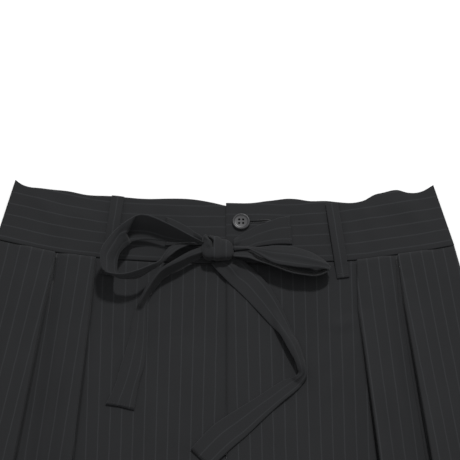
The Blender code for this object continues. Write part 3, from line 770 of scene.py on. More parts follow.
def pinstripe_cloth(settings):
    """Charcoal twill: slanted ribs, a paler thread at each pitch, slubs and a little felted nap.

    The stripe is a soft step of the distance from the nearest whole pitch, thinned by the sine of its
    floats. The ground's tone is the sum of the ribs' sine, the slubs and a slow cloud.
    """
    material, tree, shader = new_material("charcoal pinstripe cloth")
    uv = tree.nodes.new("ShaderNodeUVMap")
    uv.uv_map = "cloth"
    parts = tree.nodes.new("ShaderNodeSeparateXYZ")
    tree.links.new(uv.outputs["UV"], parts.inputs["Vector"])
    across, along = parts.outputs["X"], parts.outputs["Y"]
    place = tree.nodes.new("ShaderNodeTexCoord").outputs["Object"]

    wander = about_zero(tree, noise(tree, place, scale=60.0, detail=1.0), 0.8 * MM)
    turns = math_node(tree, "DIVIDE", plus(tree, across, wander), settings.stripe_pitch)
    share = math_node(tree, "FRACT", plus(tree, turns, 0.5))
    off = math_node(tree, "ABSOLUTE", math_node(tree, "SUBTRACT", share, 0.5))
    edge = settings.stripe_width / settings.stripe_pitch / 2
    soft = tree.nodes.new("ShaderNodeMapRange")
    soft.interpolation_type = "SMOOTHSTEP"
    limits = {"From Min": edge * 0.35, "From Max": edge * 1.5, "To Min": 1.0, "To Max": 0.0}
    for name, value in limits.items():
        soft.inputs[name].default_value = value
    tree.links.new(off, soft.inputs["Value"])
    floats = math_node(tree, "MULTIPLY_ADD", wave(tree, along, settings.pick_length), 0.16, 0.62)
    worn = plus(tree, floats, times(tree, noise(tree, place, scale=260.0, detail=2.0), 0.5))
    stripe = times(tree, soft.outputs["Result"], worn)

    rib = wave(tree, plus(tree, across, times(tree, along, 0.6)), settings.twill_pitch)
    slub = noise(tree, place, scale=900.0, detail=3.0)
    cloud = noise(tree, place, scale=22.0, detail=2.0)
    tone = math_node(tree, "MULTIPLY_ADD", rib, 0.07, 0.5)
    tone = plus(tree, plus(tree, tone, about_zero(tree, slub, 0.5)), about_zero(tree, cloud, 0.5))
    ground = mix_colours(tree, tone, shade(settings.colour, 0.72), shade(settings.colour, 1.28))
    colour = mix_colours(tree, stripe, ground, shade(settings.stripe_colour))
    tree.links.new(colour, shader.inputs["Base Color"])

    relief = plus(tree, times(tree, rib, 0.3), times(tree, slub, 1.2))
    add_bump(tree, shader, plus(tree, relief, times(tree, stripe, 0.35)), strength=0.35, distance=0.12)
    rough = math_node(tree, "MULTIPLY_ADD", slub, 0.16, 0.76)
    tree.links.new(rough, shader.inputs["Roughness"])
    shader.inputs["Specular IOR Level"].default_value = 0.2
    shader.inputs["Sheen Weight"].default_value = 0.05
    shader.inputs["Sheen Roughness"].default_value = 0.5
    return material


def button_plastic(settings):
    """Cast grey plastic with faint smoky streaks and a polished face."""
    material, tree, shader = new_material("smoky button plastic")
    place = tree.nodes.new("ShaderNodeTexCoord").outputs["Object"]
    streak = noise(tree, place, scale=240.0, detail=3.0)
    colour = mix_colours(tree, streak, shade(settings.colour, 0.7), shade(settings.colour, 1.35))
    tree.links.new(colour, shader.inputs["Base Color"])
    grain = noise(tree, place, scale=1400.0, detail=2.0)
    tree.links.new(math_node(tree, "MULTIPLY_ADD", grain, 0.08, 0.24), shader.inputs["Roughness"])
    shader.inputs["Specular IOR Level"].default_value = 0.14
    return material


def sewing_thread(settings):
    """Dark spun thread with a fine twist along it."""
    material, tree, shader = new_material("dark sewing thread")
    place = tree.nodes.new("ShaderNodeTexCoord").outputs["Object"]
    twist = noise(tree, place, scale=2200.0, detail=2.0)
    colour = mix_colours(tree, twist, shade(settings.thread_colour, 0.6), shade(settings.thread_colour, 1.4))
    tree.links.new(colour, shader.inputs["Base Color"])
    add_bump(tree, shader, twist, strength=0.4, distance=0.05)
    shader.inputs["Roughness"].default_value = 0.7
    return material


def pale_floor(settings):
    """Matt white studio floor with the faintest unevenness."""
    material, tree, shader = new_material("pale studio floor")
    place = tree.nodes.new("ShaderNodeTexCoord").outputs["Object"]
    cloud = noise(tree, place, scale=3.0, detail=1.0)
    colour = mix_colours(tree, cloud, shade(settings.floor_colour, 0.985), shade(settings.floor_colour))
    tree.links.new(colour, shader.inputs["Base Color"])
    shader.inputs["Roughness"].default_value = 0.9
    shader.inputs["Specular IOR Level"].default_value = 0.1
    return material


def material_of(name, maker, settings):
    """The named material, made once."""
    return bpy.data.materials.get(name) or maker(settings)


def cloth():
    return material_of("charcoal pinstripe cloth", pinstripe_cloth, bpy.context.scene.hakama_cloth)


def thread():
    return material_of("dark sewing thread", sewing_thread, bpy.context.scene.hakama_cloth)


def finish_piece(piece, nodes):
    """The piece rides on the garment and stands for its solids, which are hidden."""
    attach(piece, BODY)
    if nodes:
        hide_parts(*nodes)
    return piece


def leg_height(side, share, down):
    """Height (y) on the leg at a share of its half width and a share of its length."""
    seam = waist_line(side, np.clip(share, 0, 1), 2) - GAP
    return seam + (hem_line(np.clip(share, 0, 1)) - seam) * down


def leg_rows():
    """Shares of the leg's length, closest near the waist, where the pleats are stitched."""
    close = np.linspace(0.0, CLOSE_SHARE, CLOSE_ROWS)
    return np.concatenate([close, np.linspace(CLOSE_SHARE, 1.0, WIDE_ROWS)[1:]])


def panel_uv(side, panel, out, down_mm):
    """Place across and along the pinstripes: each panel has its own lean and its own first stripe."""
    lean, place, pitch = PANEL_STRIPES[side][panel]
    angle = math.atan(lean)
    across = (out * math.cos(angle) - down_mm * math.sin(angle) - place) * PITCH / pitch
    along = down_mm * math.cos(angle) + out * math.sin(angle)
    return np.stack([across * MM, along * MM], axis=-1)


def inner_edge(height):
    """Distance of the leg's inner edge from the middle: by the seam above the crotch, and away below it."""
    return SEAM_GAP + (HEM_INNER - SEAM_GAP) * ramp(-height, -CROTCH, -HEM_MIDDLE)


def front_leg_section(side, down):
    """Middle line of the front leg's cloth at each height down: distance out, height, panel, side edge.

    From the middle it runs out, swells up to a lip and drops into the pleat's slot. It runs on under the
    pleat, turns back round a half circle, comes back to the slot and turns again. There it climbs the
    slot's wall, which leans a little, to a crest and eases down beyond it, and then the same at the outer
    pleat. The swell, the slot, the lean and the crest grow from nothing where the pleat is released.
    """
    column = down[:, None]
    height = SEAM_MIDDLE + (HEM_MIDDLE - SEAM_MIDDLE) * column
    low = leg_floor(column) + CLOTH + GAP + CLOTH / 2
    depth = PLEAT_DEPTH[0] + (PLEAT_DEPTH[1] - PLEAT_DEPTH[0]) * column
    edge = SEAM_HALF[side] + (HEM_HALF - SEAM_HALF[side]) * column
    inner = inner_edge(height)
    overlap = ramp(height, FLY_END - FLY_END_EASE, FLY_END + FLY_END_EASE)
    lift = LAYER * ramp(height, FLY_FLAT - LAP_SLOPE, FLY_FLAT)
    outs, ups, panels = [], [], []

    def run(x_from, x_to, up_from, up_to, panel, count, soft=False):
        share = np.linspace(0.0, 1.0, count + 1)[1 if outs else 0:][None, :]
        blend = ease(share, 0.0, 1.0) if soft else share
        outs.append(x_from + (x_to - x_from) * share)
        ups.append(up_from + (up_to - up_from) * blend)
        panels.extend([panel] * share.shape[1])

    def turn(x, up_from, up_to, bulge, panel, count=5):
        angle = np.linspace(0.0, np.pi, count + 2)[1:-1][None, :]
        outs.append(x + bulge * LAYER / 2 * np.sin(angle))
        ups.append(up_from + (up_to - up_from) * (1.0 - np.cos(angle)) / 2)
        panels.extend([panel] * count)

    start = inner + UNDERLAP_FLY + LAP_SLOPE
    if side == "right":
        run(inner - (UNDERLAP_FLY + SEAM_GAP) * overlap, inner + BAND_STEP, low, low, 0, 6)
        run(inner + BAND_STEP, start, low, low, 0, 6)
    else:
        run(inner, inner + UNDERLAP_FLY + LAP_EASE, low + lift, low + lift, 0, 6)
        run(inner + UNDERLAP_FLY + LAP_EASE, start, low + lift, low, 0, 6, soft=True)
    for number, places in enumerate(PLEATS[side]):
        fold = np.interp(column, (0.0, PLEAT_BEND, 1.0), places)
        release = PLEAT_RELEASE[side][number]
        opened = ramp(SEAM_MIDDLE - height, release, release + OPENING_LENGTH[side])
        rise = PLEAT_LIFT[side][number] * opened**0.7
        wall = fold - WALL_BACK
        lip = wall - CLOTH - PLEAT_SLOT[side][number] * opened**0.4
        near = np.maximum(lip - SWELL_REACH, start + 0.3 * (lip - start))
        swell = SWELL_SHARE * rise * ramp(lip - start, 0.0, SWELL_START)
        top = low + 2 * LAYER
        run(start, near, low, low, number, 16)
        run(near, lip - LIP_WIDTH, low, low + swell, number, 14, soft=True)
        run(lip - LIP_WIDTH, lip, low + swell, low + LIP_DROP * swell, number, 3)
        run(lip, lip + LIP_EDGE, low + LIP_DROP * swell, low, number, 6)
        back = fold + depth
        run(lip + LIP_EDGE, back, low, low, number, 8)
        turn(back, low, low + LAYER, 1.0, number)
        foot, crest = wall + PLEAT_LEAN * opened, wall + WALL_EDGE
        run(back, foot, low + LAYER, low + LAYER, number, 6)
        turn(foot, low + LAYER, top, -1.0, number + 1)
        run(foot, crest, top, top + rise * CREST_SHARE, number + 1, 8)
        share = CREST_PLACES[None, :]
        outs.append(crest + (back + PLEAT_SHOULDER - crest) * share)
        ups.append(top + rise * (1.0 - ease(share, -0.02, 1.0)))
        panels.extend([number + 1] * share.shape[1])
        start = back + PLEAT_SHOULDER + PLEAT_SLOPE
        run(back + PLEAT_SHOULDER, start, top, low, number + 1, 6, soft=True)
    run(start, edge, low, low, 2, 22)
    return np.concatenate(outs, axis=1), np.concatenate(ups, axis=1), np.array(panels), edge


def make_front_leg(side):
    """The pleated panel: a section at each height, bent along the seam and hem, with its creases."""
    down = leg_rows()
    out, up, panels, edge = front_leg_section(side, down)
    y = leg_height(side, out / edge, down[:, None])
    x = SIGN[side] * out
    z = up + leg_creases(x, y)
    middle = np.stack([x, y, z], axis=-1)
    uv = np.zeros((*x.shape, 2))
    for panel in range(3):
        chosen = panels == panel
        uv[:, chosen] = panel_uv(side, panel, out[:, chosen], SEAM_MIDDLE - y[:, chosen])
    piece = sheet_wall(f"front_leg_{side}_cloth", middle, uv, CLOTH, cloth(), LEG_ROUND)
    finish_piece(piece, [f"front_leg_{side}"])


def make_back_leg(side):
    """The plain panel under it, flat on the floor but for its own creases."""
    down = leg_rows()[:, None]
    edge = SEAM_HALF[side] + (HEM_HALF - SEAM_HALF[side]) * down
    inner = inner_edge(SEAM_MIDDLE + (HEM_MIDDLE - SEAM_MIDDLE) * down)
    out = inner + (edge - inner) * np.linspace(0.0, 1.0, BACK_LEG_COLUMNS)[None, :]
    y = leg_height(side, out / edge, down)
    x = SIGN[side] * out
    z = leg_floor(down) + CLOTH / 2 + back_creases(x, y)
    across = out / (1.0 + BACK_STRIPE_FLARE * (SEAM_MIDDLE - y))
    uv = np.stack([across * MM, -y * MM], axis=-1)
    piece = sheet_wall(f"back_leg_{side}_cloth", np.stack([x, y, z], axis=-1), uv, CLOTH, cloth(), LEG_ROUND)
    finish_piece(piece, [f"back_leg_{side}"])


def band_surface(side, x_top, x_seam, floor, inset=0.0):
    """Middle of a waistband half: straight lines from the waist's top edge down to the seam."""
    top_share = np.clip(x_top * SIGN[side] / TOP_HALF[side], 0, 1)
    seam_share = np.clip(x_seam * SIGN[side] / SEAM_HALF[side], 0, 1)
    middle = floor + BAND / 2
    top = np.stack([x_top, waist_line(side, top_share, 1) - inset, middle], axis=1)
    seam = np.stack([x_seam, waist_line(side, seam_share, 2) + GAP / 2, middle], axis=1)
    return top + (seam - top) * BAND_DOWN[:, None, None]


def band_uv(middle, side=None):
    """Pinstripes run along the band: the height above its seam goes across them."""
    steps = np.linalg.norm(np.diff(middle, axis=0), axis=2)
    rise = np.concatenate([np.cumsum(steps[::-1], axis=0)[::-1], np.zeros((1, middle.shape[1]))])
    place, pitch = np.array(BAND_PITCH).T
    first = FIRST_BAND_STRIPE.get(side, PLAIN_BAND_STRIPE)
    across = (rise - first) * PITCH / np.interp(middle[-1, :, 0], place, pitch)
    return np.stack([across * MM, middle[..., 0] * MM], axis=-1)


def spread(*stops):
    """Places along a band, about a step apart between the given stops."""
    parts = [np.linspace(a, b, max(2, int(abs(b - a) / BAND_STEP)))[:-1] for a, b in zip(stops, stops[1:])]
    return np.append(np.concatenate(parts), stops[-1])


def make_waistbands():
    """The back band in one piece, the front under half with its extension, and the front over half."""
    share = np.linspace(-1, 1, BACK_BAND_COLUMNS)
    x_top = np.where(share < 0, TOP_HALF["right"], TOP_HALF["left"]) * share
    x_seam = np.where(share < 0, SEAM_HALF["right"], SEAM_HALF["left"]) * share
    floor = np.full(len(share), BACK_BAND_FLOOR)
    right_half = band_surface("right", x_top, x_seam, floor, BACK_BAND_INSET)
    left_half = band_surface("left", x_top, x_seam, floor, BACK_BAND_INSET)
    middle = np.where(x_top[None, :, None] < 0.0, right_half, left_half)
    back = sheet_wall("waistband_back_cloth", middle, band_uv(middle), BAND, cloth())
    finish_piece(back, ["waistband_back"])

    share = spread(0.0, TOP_HALF["right"]) / TOP_HALF["right"]
    lap = spread(UNDERLAP_BAND, 0.0)[:-1]
    x_top = np.concatenate([lap, -TOP_HALF["right"] * share])
    x_seam = np.concatenate([lap, -SEAM_HALF["right"] * share])
    middle = band_surface("right", x_top, x_seam, np.full(len(x_top), FRONT_BAND_FLOOR))
    raised = crease_field(BAND_CREASES, middle[..., 0], middle[..., 1])
    middle[..., 2] += raised * (1.0 - ramp(middle[..., 0], SEAM_STEP[0], 0.0))
    under = sheet_wall("waistband_front_right_cloth", middle, band_uv(middle, "right"), BAND, cloth())
    finish_piece(under, ["waistband_front_right"])

    share = spread(0.0, TOP_HALF["left"]) / TOP_HALF["left"]
    x_top, x_seam = TOP_HALF["left"] * share, SEAM_HALF["left"] * share
    step = (BAND + GAP) * (1.0 - ease(x_top, UNDERLAP_BAND + LAP_EASE, UNDERLAP_BAND + BAND_SLOPE))
    middle = band_surface("left", x_top, x_seam, FRONT_BAND_FLOOR + step)
    middle[..., 2] += crease_field(BAND_CREASES, middle[..., 0], middle[..., 1])
    over = sheet_wall("waistband_front_left_cloth", middle, band_uv(middle, "left"), BAND, cloth())
    cut_buttonhole(over)
    finish_piece(over, ["waistband_front_left"])


def hole_outline(count, grow=0.0):
    """The buttonhole's outline: round at the button's thread, then a narrow slit, turned by its slant."""
    angle = np.linspace(0.0, 2 * np.pi, count, endpoint=False)
    start = -SHANK_RADIUS - GAP
    centre, half = (start + HOLE_LENGTH) / 2, (HOLE_LENGTH - start) / 2 + grow
    along = centre + half * squarer(np.cos(angle), HOLE_ROUND)
    narrow = 1.0 - HOLE_NARROW * ramp(along, *HOLE_NECK)
    across = (HOLE_WIDTH / 2 * narrow + grow) * np.sin(angle)
    x = BUTTON_AT[0] + along * math.cos(HOLE_SLANT) - across * math.sin(HOLE_SLANT)
    y = BUTTON_AT[1] + along * math.sin(HOLE_SLANT) + across * math.cos(HOLE_SLANT)
    return np.stack([x, y], axis=1)


def subtract(piece, cutter):
    """Cuts one closed mesh out of another and keeps the result as the piece's own mesh."""
    cut = piece.modifiers.new("cut", "BOOLEAN")
    cut.operation = "DIFFERENCE"
    cut.solver = "EXACT"
    cut.object = cutter
    bpy.context.view_layer.update()
    evaluated = piece.evaluated_get(bpy.context.evaluated_depsgraph_get())
    mesh = bpy.data.meshes.new_from_object(evaluated)
    piece.modifiers.remove(cut)
    mesh.set_sharp_from_angle(angle=SHARP_ANGLE)
    piece.data = mesh
    bpy.data.objects.remove(cutter)


def prism(name, outline, low, high, material):
    """A closed upright prism over an outline."""
    count = len(outline)
    centre = outline.mean(axis=0)
    rings = [np.column_stack([outline, np.full(count, z)]) for z in (low, high)]
    points = np.concatenate([*rings, [[*centre, low], [*centre, high]]])
    here = np.arange(count)
    after = np.roll(here, -1)
    side_a = np.stack([here, after, after + count], axis=1)
    side_b = np.stack([here, after + count, here + count], axis=1)
    base = np.stack([after, here, np.full(count, 2 * count)], axis=1)
    lid = np.stack([here + count, after + count, np.full(count, 2 * count + 1)], axis=1)
    return mesh_object(name, placed(points), np.concatenate([side_a, side_b, base, lid]), material)


def cut_buttonhole(band):
    """A slit through the over half of the band, with its inner end round the button's thread."""
    low, high = FRONT_BAND_FLOOR - CUT_BEYOND, FRONT_BAND_TOP + 2 * CUT_BEYOND
    subtract(band, prism("buttonhole_cutter", hole_outline(HOLE_TURNS), low, high, cloth()))


def make_belt_loop(name, node, top, bottom, floor):
    """A strip along a straight line, at the height that a function of its places gives."""
    start, end = np.array(top, float), np.array(bottom, float)
    length = np.linalg.norm(end - start)
    run = (end - start) / length
    across = np.array([-run[1], run[0]])
    share = LOOP_ALONG
    place = (TIE_ACROSS - 0.5) * LOOP_WIDTH
    flat = start + (end - start) * share[:, None, None] + across * place[None, :, None]
    x, y = flat[..., 0], flat[..., 1]
    z = floor(x, y, share[:, None] * np.ones(len(place)), place) + CLOTH / 2
    uv = np.stack(np.broadcast_arrays(place[None, :] * MM, share[:, None] * length * MM), axis=-1)
    piece = sheet_wall(name, np.stack([x, y, z], axis=-1), uv, CLOTH, cloth(), LOOP_ROUND)
    finish_piece(piece, [node])


def front_loop_height(x, y, share, place):
    """On the front cloth, with a low arch over the band and a slight crown across: both are parabolas."""
    arch = LOOP_ARCH * np.clip(1.0 - ((share - LOOP_CREST) / LOOP_CREST) ** 2, 0.0, 1.0)
    crown = LOOP_CROWN * (1.0 - (place / LOOP_WIDTH * 2) ** 2)
    base = cloth_top(x, y).max(axis=1, keepdims=True) + GAP
    return base + arch + crown + crease_field(BAND_CREASES, x, y) * ramp(y, SEAM_MIDDLE, SEAM_MIDDLE + 12.0)


def back_loop_height(x, y, share, place):
    """Flat on the floor."""
    return np.zeros(x.shape)


def make_belt_loops():
    """Two at the front, standing a little off the band, and three flat ones at the back."""
    for side, (top, bottom) in FRONT_LOOPS.items():
        node = f"belt_loop_front_{side}"
        make_belt_loop(f"{node}_cloth", node, top, bottom, front_loop_height)
    for place, (x, y) in BACK_LOOPS.items():
        node = f"belt_loop_back_{place}"
        top = (x, y - BACK_LOOP_DOWN)
        bottom = (x * BACK_LOOP_FLARE, y - BACK_LOOP_DOWN - BACK_LOOP_LENGTH)
        make_belt_loop(f"{node}_cloth", node, top, bottom, back_loop_height)


def tie_surface(name):
    """Middle of a tie: curves along its table's rows and a crease along its middle.

    Across it, a parabola through the row's three points is mixed with straight lines between them.
    Its soft folds are bells across, easing out at both ends, and move it along its normal. Where it
    lies on cloth it keeps above it.
    """
    rows = smooth_along(np.array(TIES[name], float), TIE_STEPS)
    share = TIE_ACROSS[None, :, None]
    outer, centre, inner = rows[:, :1], rows[:, 1:2], rows[:, 2:3]
    bowed = (
        outer * (2 * (share - 0.5) * (share - 1.0))
        + centre * (4 * share * (1.0 - share))
        + inner * (2 * share * (share - 0.5))
    )
    near_outer, near_inner = np.clip(1.0 - 2 * share, 0.0, 1.0), np.clip(2 * share - 1.0, 0.0, 1.0)
    pressed = outer * near_outer + inner * near_inner + centre * (1.0 - near_outer - near_inner)
    middle = bowed + (pressed - bowed) * TIE_FOLD[name]
    along = np.linspace(0.0, 1.0, len(rows))[:, None]
    folds = np.zeros(middle.shape[:2])
    for start, end, place, half_width, height in TIE_CREASES[name]:
        length = (along - start) / (end - start)
        ends = ease(length, 0.0, 0.35) * (1.0 - ease(length, 0.65, 1.0))
        folds = folds + height * ends * np.exp(-(((share[..., 0] - place) / half_width) ** 2))
    normal = unit_normals(middle)
    upward = np.where(normal[..., 2:] < 0, -1.0, 1.0)
    middle = middle + normal * upward * folds[..., None]
    place = cloth_top(middle[..., 0], middle[..., 1]) + GAP + STRAP / 2
    rest = place.max(axis=1)
    for _ in range(SETTLE_ROUNDS):
        rest = np.maximum(rest, (np.append(rest[1:], rest[-1]) + np.append(rest[0], rest[:-1])) / 2)
    middle[..., 2] = np.maximum(middle[..., 2], rest[:, None])
    return middle


def tie_uv(middle):
    """Pinstripes run along the tie: the share of its width goes across them."""
    length = np.linalg.norm(np.diff(middle[:, len(TIE_ACROSS) // 2], axis=0), axis=1)
    along = np.concatenate([[0.0], np.cumsum(length)])
    across = TIE_ACROSS * TIE_WIDTH
    return np.stack(np.broadcast_arrays(across[None, :] * MM, along[:, None] * MM), axis=-1), along[-1]


def make_tie(name):
    """One stretch of a tie, its length measured along its middle."""
    middle = tie_surface(name)
    uv, length = tie_uv(middle)
    piece = sheet_wall(f"{name}_cloth", middle, uv, STRAP, cloth())
    finish_piece(piece, [name])


def make_knot():
    """The wrap of the knot: a flat ring round X, longer up the garment at the viewer's left.

    Its radius falls off with the fifth power of the place across; lengthwise folds ripple it and a
    bent groove with a plump fold beside it crosses its left part.
    """
    angle = np.linspace(0.0, 2 * np.pi, KNOT_TURNS, endpoint=False)[:, None]
    place = np.linspace(-1.0, 1.0, KNOT_COLUMNS)[None, :]
    ripple = 0.04 * np.cos(8.0 * place + 1.2 * np.sin(angle))
    ripple = ripple + 0.02 * np.cos(15.0 * place - 0.8 * np.cos(angle))
    radius = np.sqrt(np.clip(1.0 - np.abs(place) ** 5, 0.0, 1.0)) * (1.0 + ripple)
    ring_y, ring_z = squarer(np.cos(angle), 0.7), squarer(np.sin(angle), 0.5)
    x = KNOT_AT[0] + KNOT_HALF[0] * place * np.ones_like(angle)
    y = KNOT_AT[1] - KNOT_TAPER * place + (KNOT_HALF[1] - KNOT_TAPER * place) * ring_y * radius
    z = KNOT_AT[2] + KNOT_HALF[2] * ring_z * radius
    from_groove = x - GROOVE_X + GROOVE_SHIFT * ease(y, *GROOVE_BEND)
    length = ease(y, *GROOVE_IN) * (1.0 - ease(y, *GROOVE_OUT)) * (ring_z > 0)
    z = z - GROOVE_DEPTH * length * np.exp(-((from_groove / GROOVE_HALF) ** 2))
    z = z + FOLD_HEIGHT * length * np.exp(-(((from_groove + FOLD_BESIDE) / FOLD_HALF) ** 2))
    points = np.stack([x, y, z], axis=-1)[:, 1:-1]
    grid = points.shape[:2]
    count = grid[0] * grid[1]
    index = np.arange(count).reshape(grid)
    after = np.roll(index, -1, axis=0)
    ends = np.array([[KNOT_AT[0] + s * KNOT_HALF[0], KNOT_AT[1], KNOT_AT[2]] for s in (-1.0, 1.0)])
    first = np.stack([after[:, 0], index[:, 0], np.full(KNOT_TURNS, count)], axis=1)
    last = np.stack([index[:, -1], after[:, -1], np.full(KNOT_TURNS, count + 1)], axis=1)
    faces = np.concatenate([ring_triangles(index), first, last])
    points = np.concatenate([points.reshape(-1, 3), ends])
    run = np.broadcast_to(angle * KNOT_RADIUS, grid).reshape(-1)
    side = np.broadcast_to(place[:, 1:-1] * KNOT_HALF[0] + KNOT_STRIPE_SHIFT, grid).reshape(-1)
    uv = np.stack([np.append(side, (-KNOT_RADIUS, KNOT_RADIUS)), np.append(run, (0.0, 0.0))], axis=1) * MM
    piece = mesh_object("tie_knot_cloth", placed(points), faces, cloth(), uv)
    finish_piece(piece, ["tie_knot"])


def make_button(settings):
    """A turned dish with a raised rim: a profile carried round, four eyes drilled, on its thread."""
    plastic = material_of("smoky button plastic", button_plastic, settings)
    radius, height, rim = settings.radius / MM, settings.height / MM, settings.rim / MM
    profile = [(NEAR_MIDDLE, 0.0)]
    profile += [(radius - inward, above) for inward, above in BUTTON_UNDER]
    profile += [(radius - inward, height - below) for inward, below in BUTTON_SHOULDER]
    profile += [(radius - rim - inward, height - below) for inward, below in BUTTON_DISH]
    profile += [(NEAR_MIDDLE, height - DISH_DEPTH)]
    out, above = np.array(profile).T
    angle = np.linspace(0.0, 2 * np.pi, BUTTON_TURNS, endpoint=False)[:, None]
    x, y = BUTTON_AT[0] + out * np.cos(angle), BUTTON_AT[1] + out * np.sin(angle)
    points = np.stack([x, y, np.broadcast_to(BUTTON_SEAT + above, x.shape)], axis=-1)
    index = np.arange(x.size).reshape(x.shape)
    faces = np.concatenate([ring_triangles(index), fan(index[:, 0])[:, ::-1], fan(index[:, -1])])
    piece = mesh_object("button_disc", placed(points.reshape(-1, 3)), faces, plastic)
    spread_eyes, eye_radius = settings.eye_spread / MM, settings.eye_radius / MM
    angle = np.linspace(0.0, 2 * np.pi, EYE_TURNS, endpoint=False)
    eye = eye_radius * np.stack([np.cos(angle), np.sin(angle)], axis=1)
    for quarter in QUARTERS:
        outline = np.array(BUTTON_AT) + np.array(quarter) * spread_eyes + eye
        low, high = BUTTON_SEAT - 1.0, BUTTON_SEAT + height + 1.0
        subtract(piece, prism("eye_cutter", outline, low, high, plastic))
    finish_piece(piece, ["button"])


def capsules(name, starts, ends, radius, material, rise):
    """Short rounded threads, one from each start to each end, bowed up in the middle by a sine."""
    rings = np.array([0.0, 0.08, 0.3, 0.5, 0.7, 0.92, 1.0])
    size = np.array([0.3, 0.8, 1.0, 1.0, 1.0, 0.8, 0.3])
    sides = 6
    starts, ends = np.asarray(starts, float), np.asarray(ends, float)
    run = ends - starts
    centre = starts[:, None] + run[:, None] * rings[None, :, None]
    centre[..., 2] += rise * np.sin(np.pi * rings)[None, :]
    direction = run / np.linalg.norm(run, axis=1, keepdims=True)
    upright = np.tile([0.0, 0.0, 1.0], (len(run), 1))
    upright = np.where(np.abs(direction[:, 2:3]) > 0.9, [[1.0, 0.0, 0.0]], upright)
    across = np.cross(direction, upright)
    across /= np.linalg.norm(across, axis=1, keepdims=True)
    above = np.cross(across, direction)
    angle = np.linspace(0.0, 2 * np.pi, sides, endpoint=False)[:, None]
    circle = np.cos(angle) * across[:, None, None, :] + np.sin(angle) * above[:, None, None, :]
    body = centre[:, :, None, :] + circle * (radius * size)[None, :, None, None]
    count, levels = body.shape[:2]
    each = levels * sides
    index = np.arange(each).reshape(levels, sides)
    one = np.concatenate([ring_triangles(index.T), fan(index[0])[:, ::-1], fan(index[-1])])
    faces = (one[None] + (np.arange(count) * each)[:, None, None]).reshape(-1, 3)
    return mesh_object(name, placed(body.reshape(-1, 3)), faces, material)


def stitch_line(start, end):
    """Starts and ends of stitches along a straight line on a plan."""
    count = max(2, int(np.linalg.norm(end - start) / STITCH_PITCH))
    first = start + (end - start) * np.arange(count)[:, None] / count
    return first, first + (end - start) / count * STITCH_SHOWS


def row_across(a, b, inset, lift):
    """A row of stitches between two points, set in from both by a share, and its height on the cloth."""
    return a + (b - a) * inset, b + (a - b) * inset, lift


def lay(points, lift):
    """Puts plan points at the top of the cloth they are sewn on, a little up."""
    z = cloth_top(points[:, 0], points[:, 1]) + lift
    return np.column_stack([points, z])


def make_stitches():
    """Bar tacks on the belt loops, the rows that hold the ties and the buttonhole's overcast edge."""
    lines = []
    for top, bottom in FRONT_LOOPS.values():
        start, end = np.array(top), np.array(bottom)
        run = (end - start) / np.linalg.norm(end - start)
        across = np.array([-run[1], run[0]]) * (LOOP_WIDTH / 2 - TACK_INSET)
        for back in TACK_ROWS:
            middle = end - run * back
            lines.append(row_across(middle - across, middle + across, 0.0, CLOTH + GAP + TACK_LIFT))
    plans = {name: np.array(rows, float)[:, ::2, :2] for name, rows in TIES.items()}
    for side in reversed(SIDES):
        first, second = plans[f"tie_base_{side}"][:2]
        a, b = first + (second - first) * BASE_STITCH_SHARE
        lines.append(row_across(a, b, 0.05, STRAP + GAP + STITCH_RADIUS))
    for side in reversed(SIDES):
        before, last = plans[f"tie_tail_{side}"][-2:]
        inward = (before - last) / np.linalg.norm(before - last, axis=1, keepdims=True)
        for back in HEM_ROWS:
            a, b = last + inward * back
            lines.append(row_across(a, b, 0.03, STRAP + GAP + STITCH_RADIUS / 2))
    starts, ends = [], []
    for start, end, lift in lines:
        first, last = stitch_line(start, end)
        starts.append(lay(first, lift))
        ends.append(lay(last, lift))
    starts, ends = np.concatenate(starts), np.concatenate(ends)
    row = capsules("hand_and_machine_stitches", starts, ends, STITCH_RADIUS, thread(), STITCH_BOW)
    finish_piece(row, [])

    inner, outer = [hole_outline(OVERCAST_COUNT, reach) for reach in OVERCAST_REACH]
    top = FRONT_BAND_TOP + BAND + GAP
    low = np.column_stack([inner, np.full(OVERCAST_COUNT, top - OVERCAST_DIP)])
    high = np.column_stack([outer, np.full(OVERCAST_COUNT, top + OVERCAST_LIFT)])
    edge = capsules("buttonhole_overcast", low, high, THREAD_RADIUS, thread(), OVERCAST_BOW)
    finish_piece(edge, [])

    starts, ends = [], []
    eye = bpy.context.scene.hakama_button.eye_spread / MM
    for right, up in QUARTERS:
        for shift in THREAD_PAIR:
            x, y = BUTTON_AT[0] + right * eye + shift, BUTTON_AT[1] + up * eye
            starts.append((x, y, THREAD_FOOT))
            ends.append((x, y, EYE_THREAD_TOP))
    for turn in np.linspace(0.0, 2 * np.pi, SHANK_THREADS, endpoint=False):
        x, y = BUTTON_AT[0] + SHANK_RING * math.cos(turn), BUTTON_AT[1] + SHANK_RING * math.sin(turn)
        starts.append((x, y, THREAD_FOOT))
        ends.append((x, y, SHANK_TOP))
    sewing = capsules("button_thread", starts, ends, THREAD_RADIUS, thread(), THREAD_BOW)
    finish_piece(sewing, [])


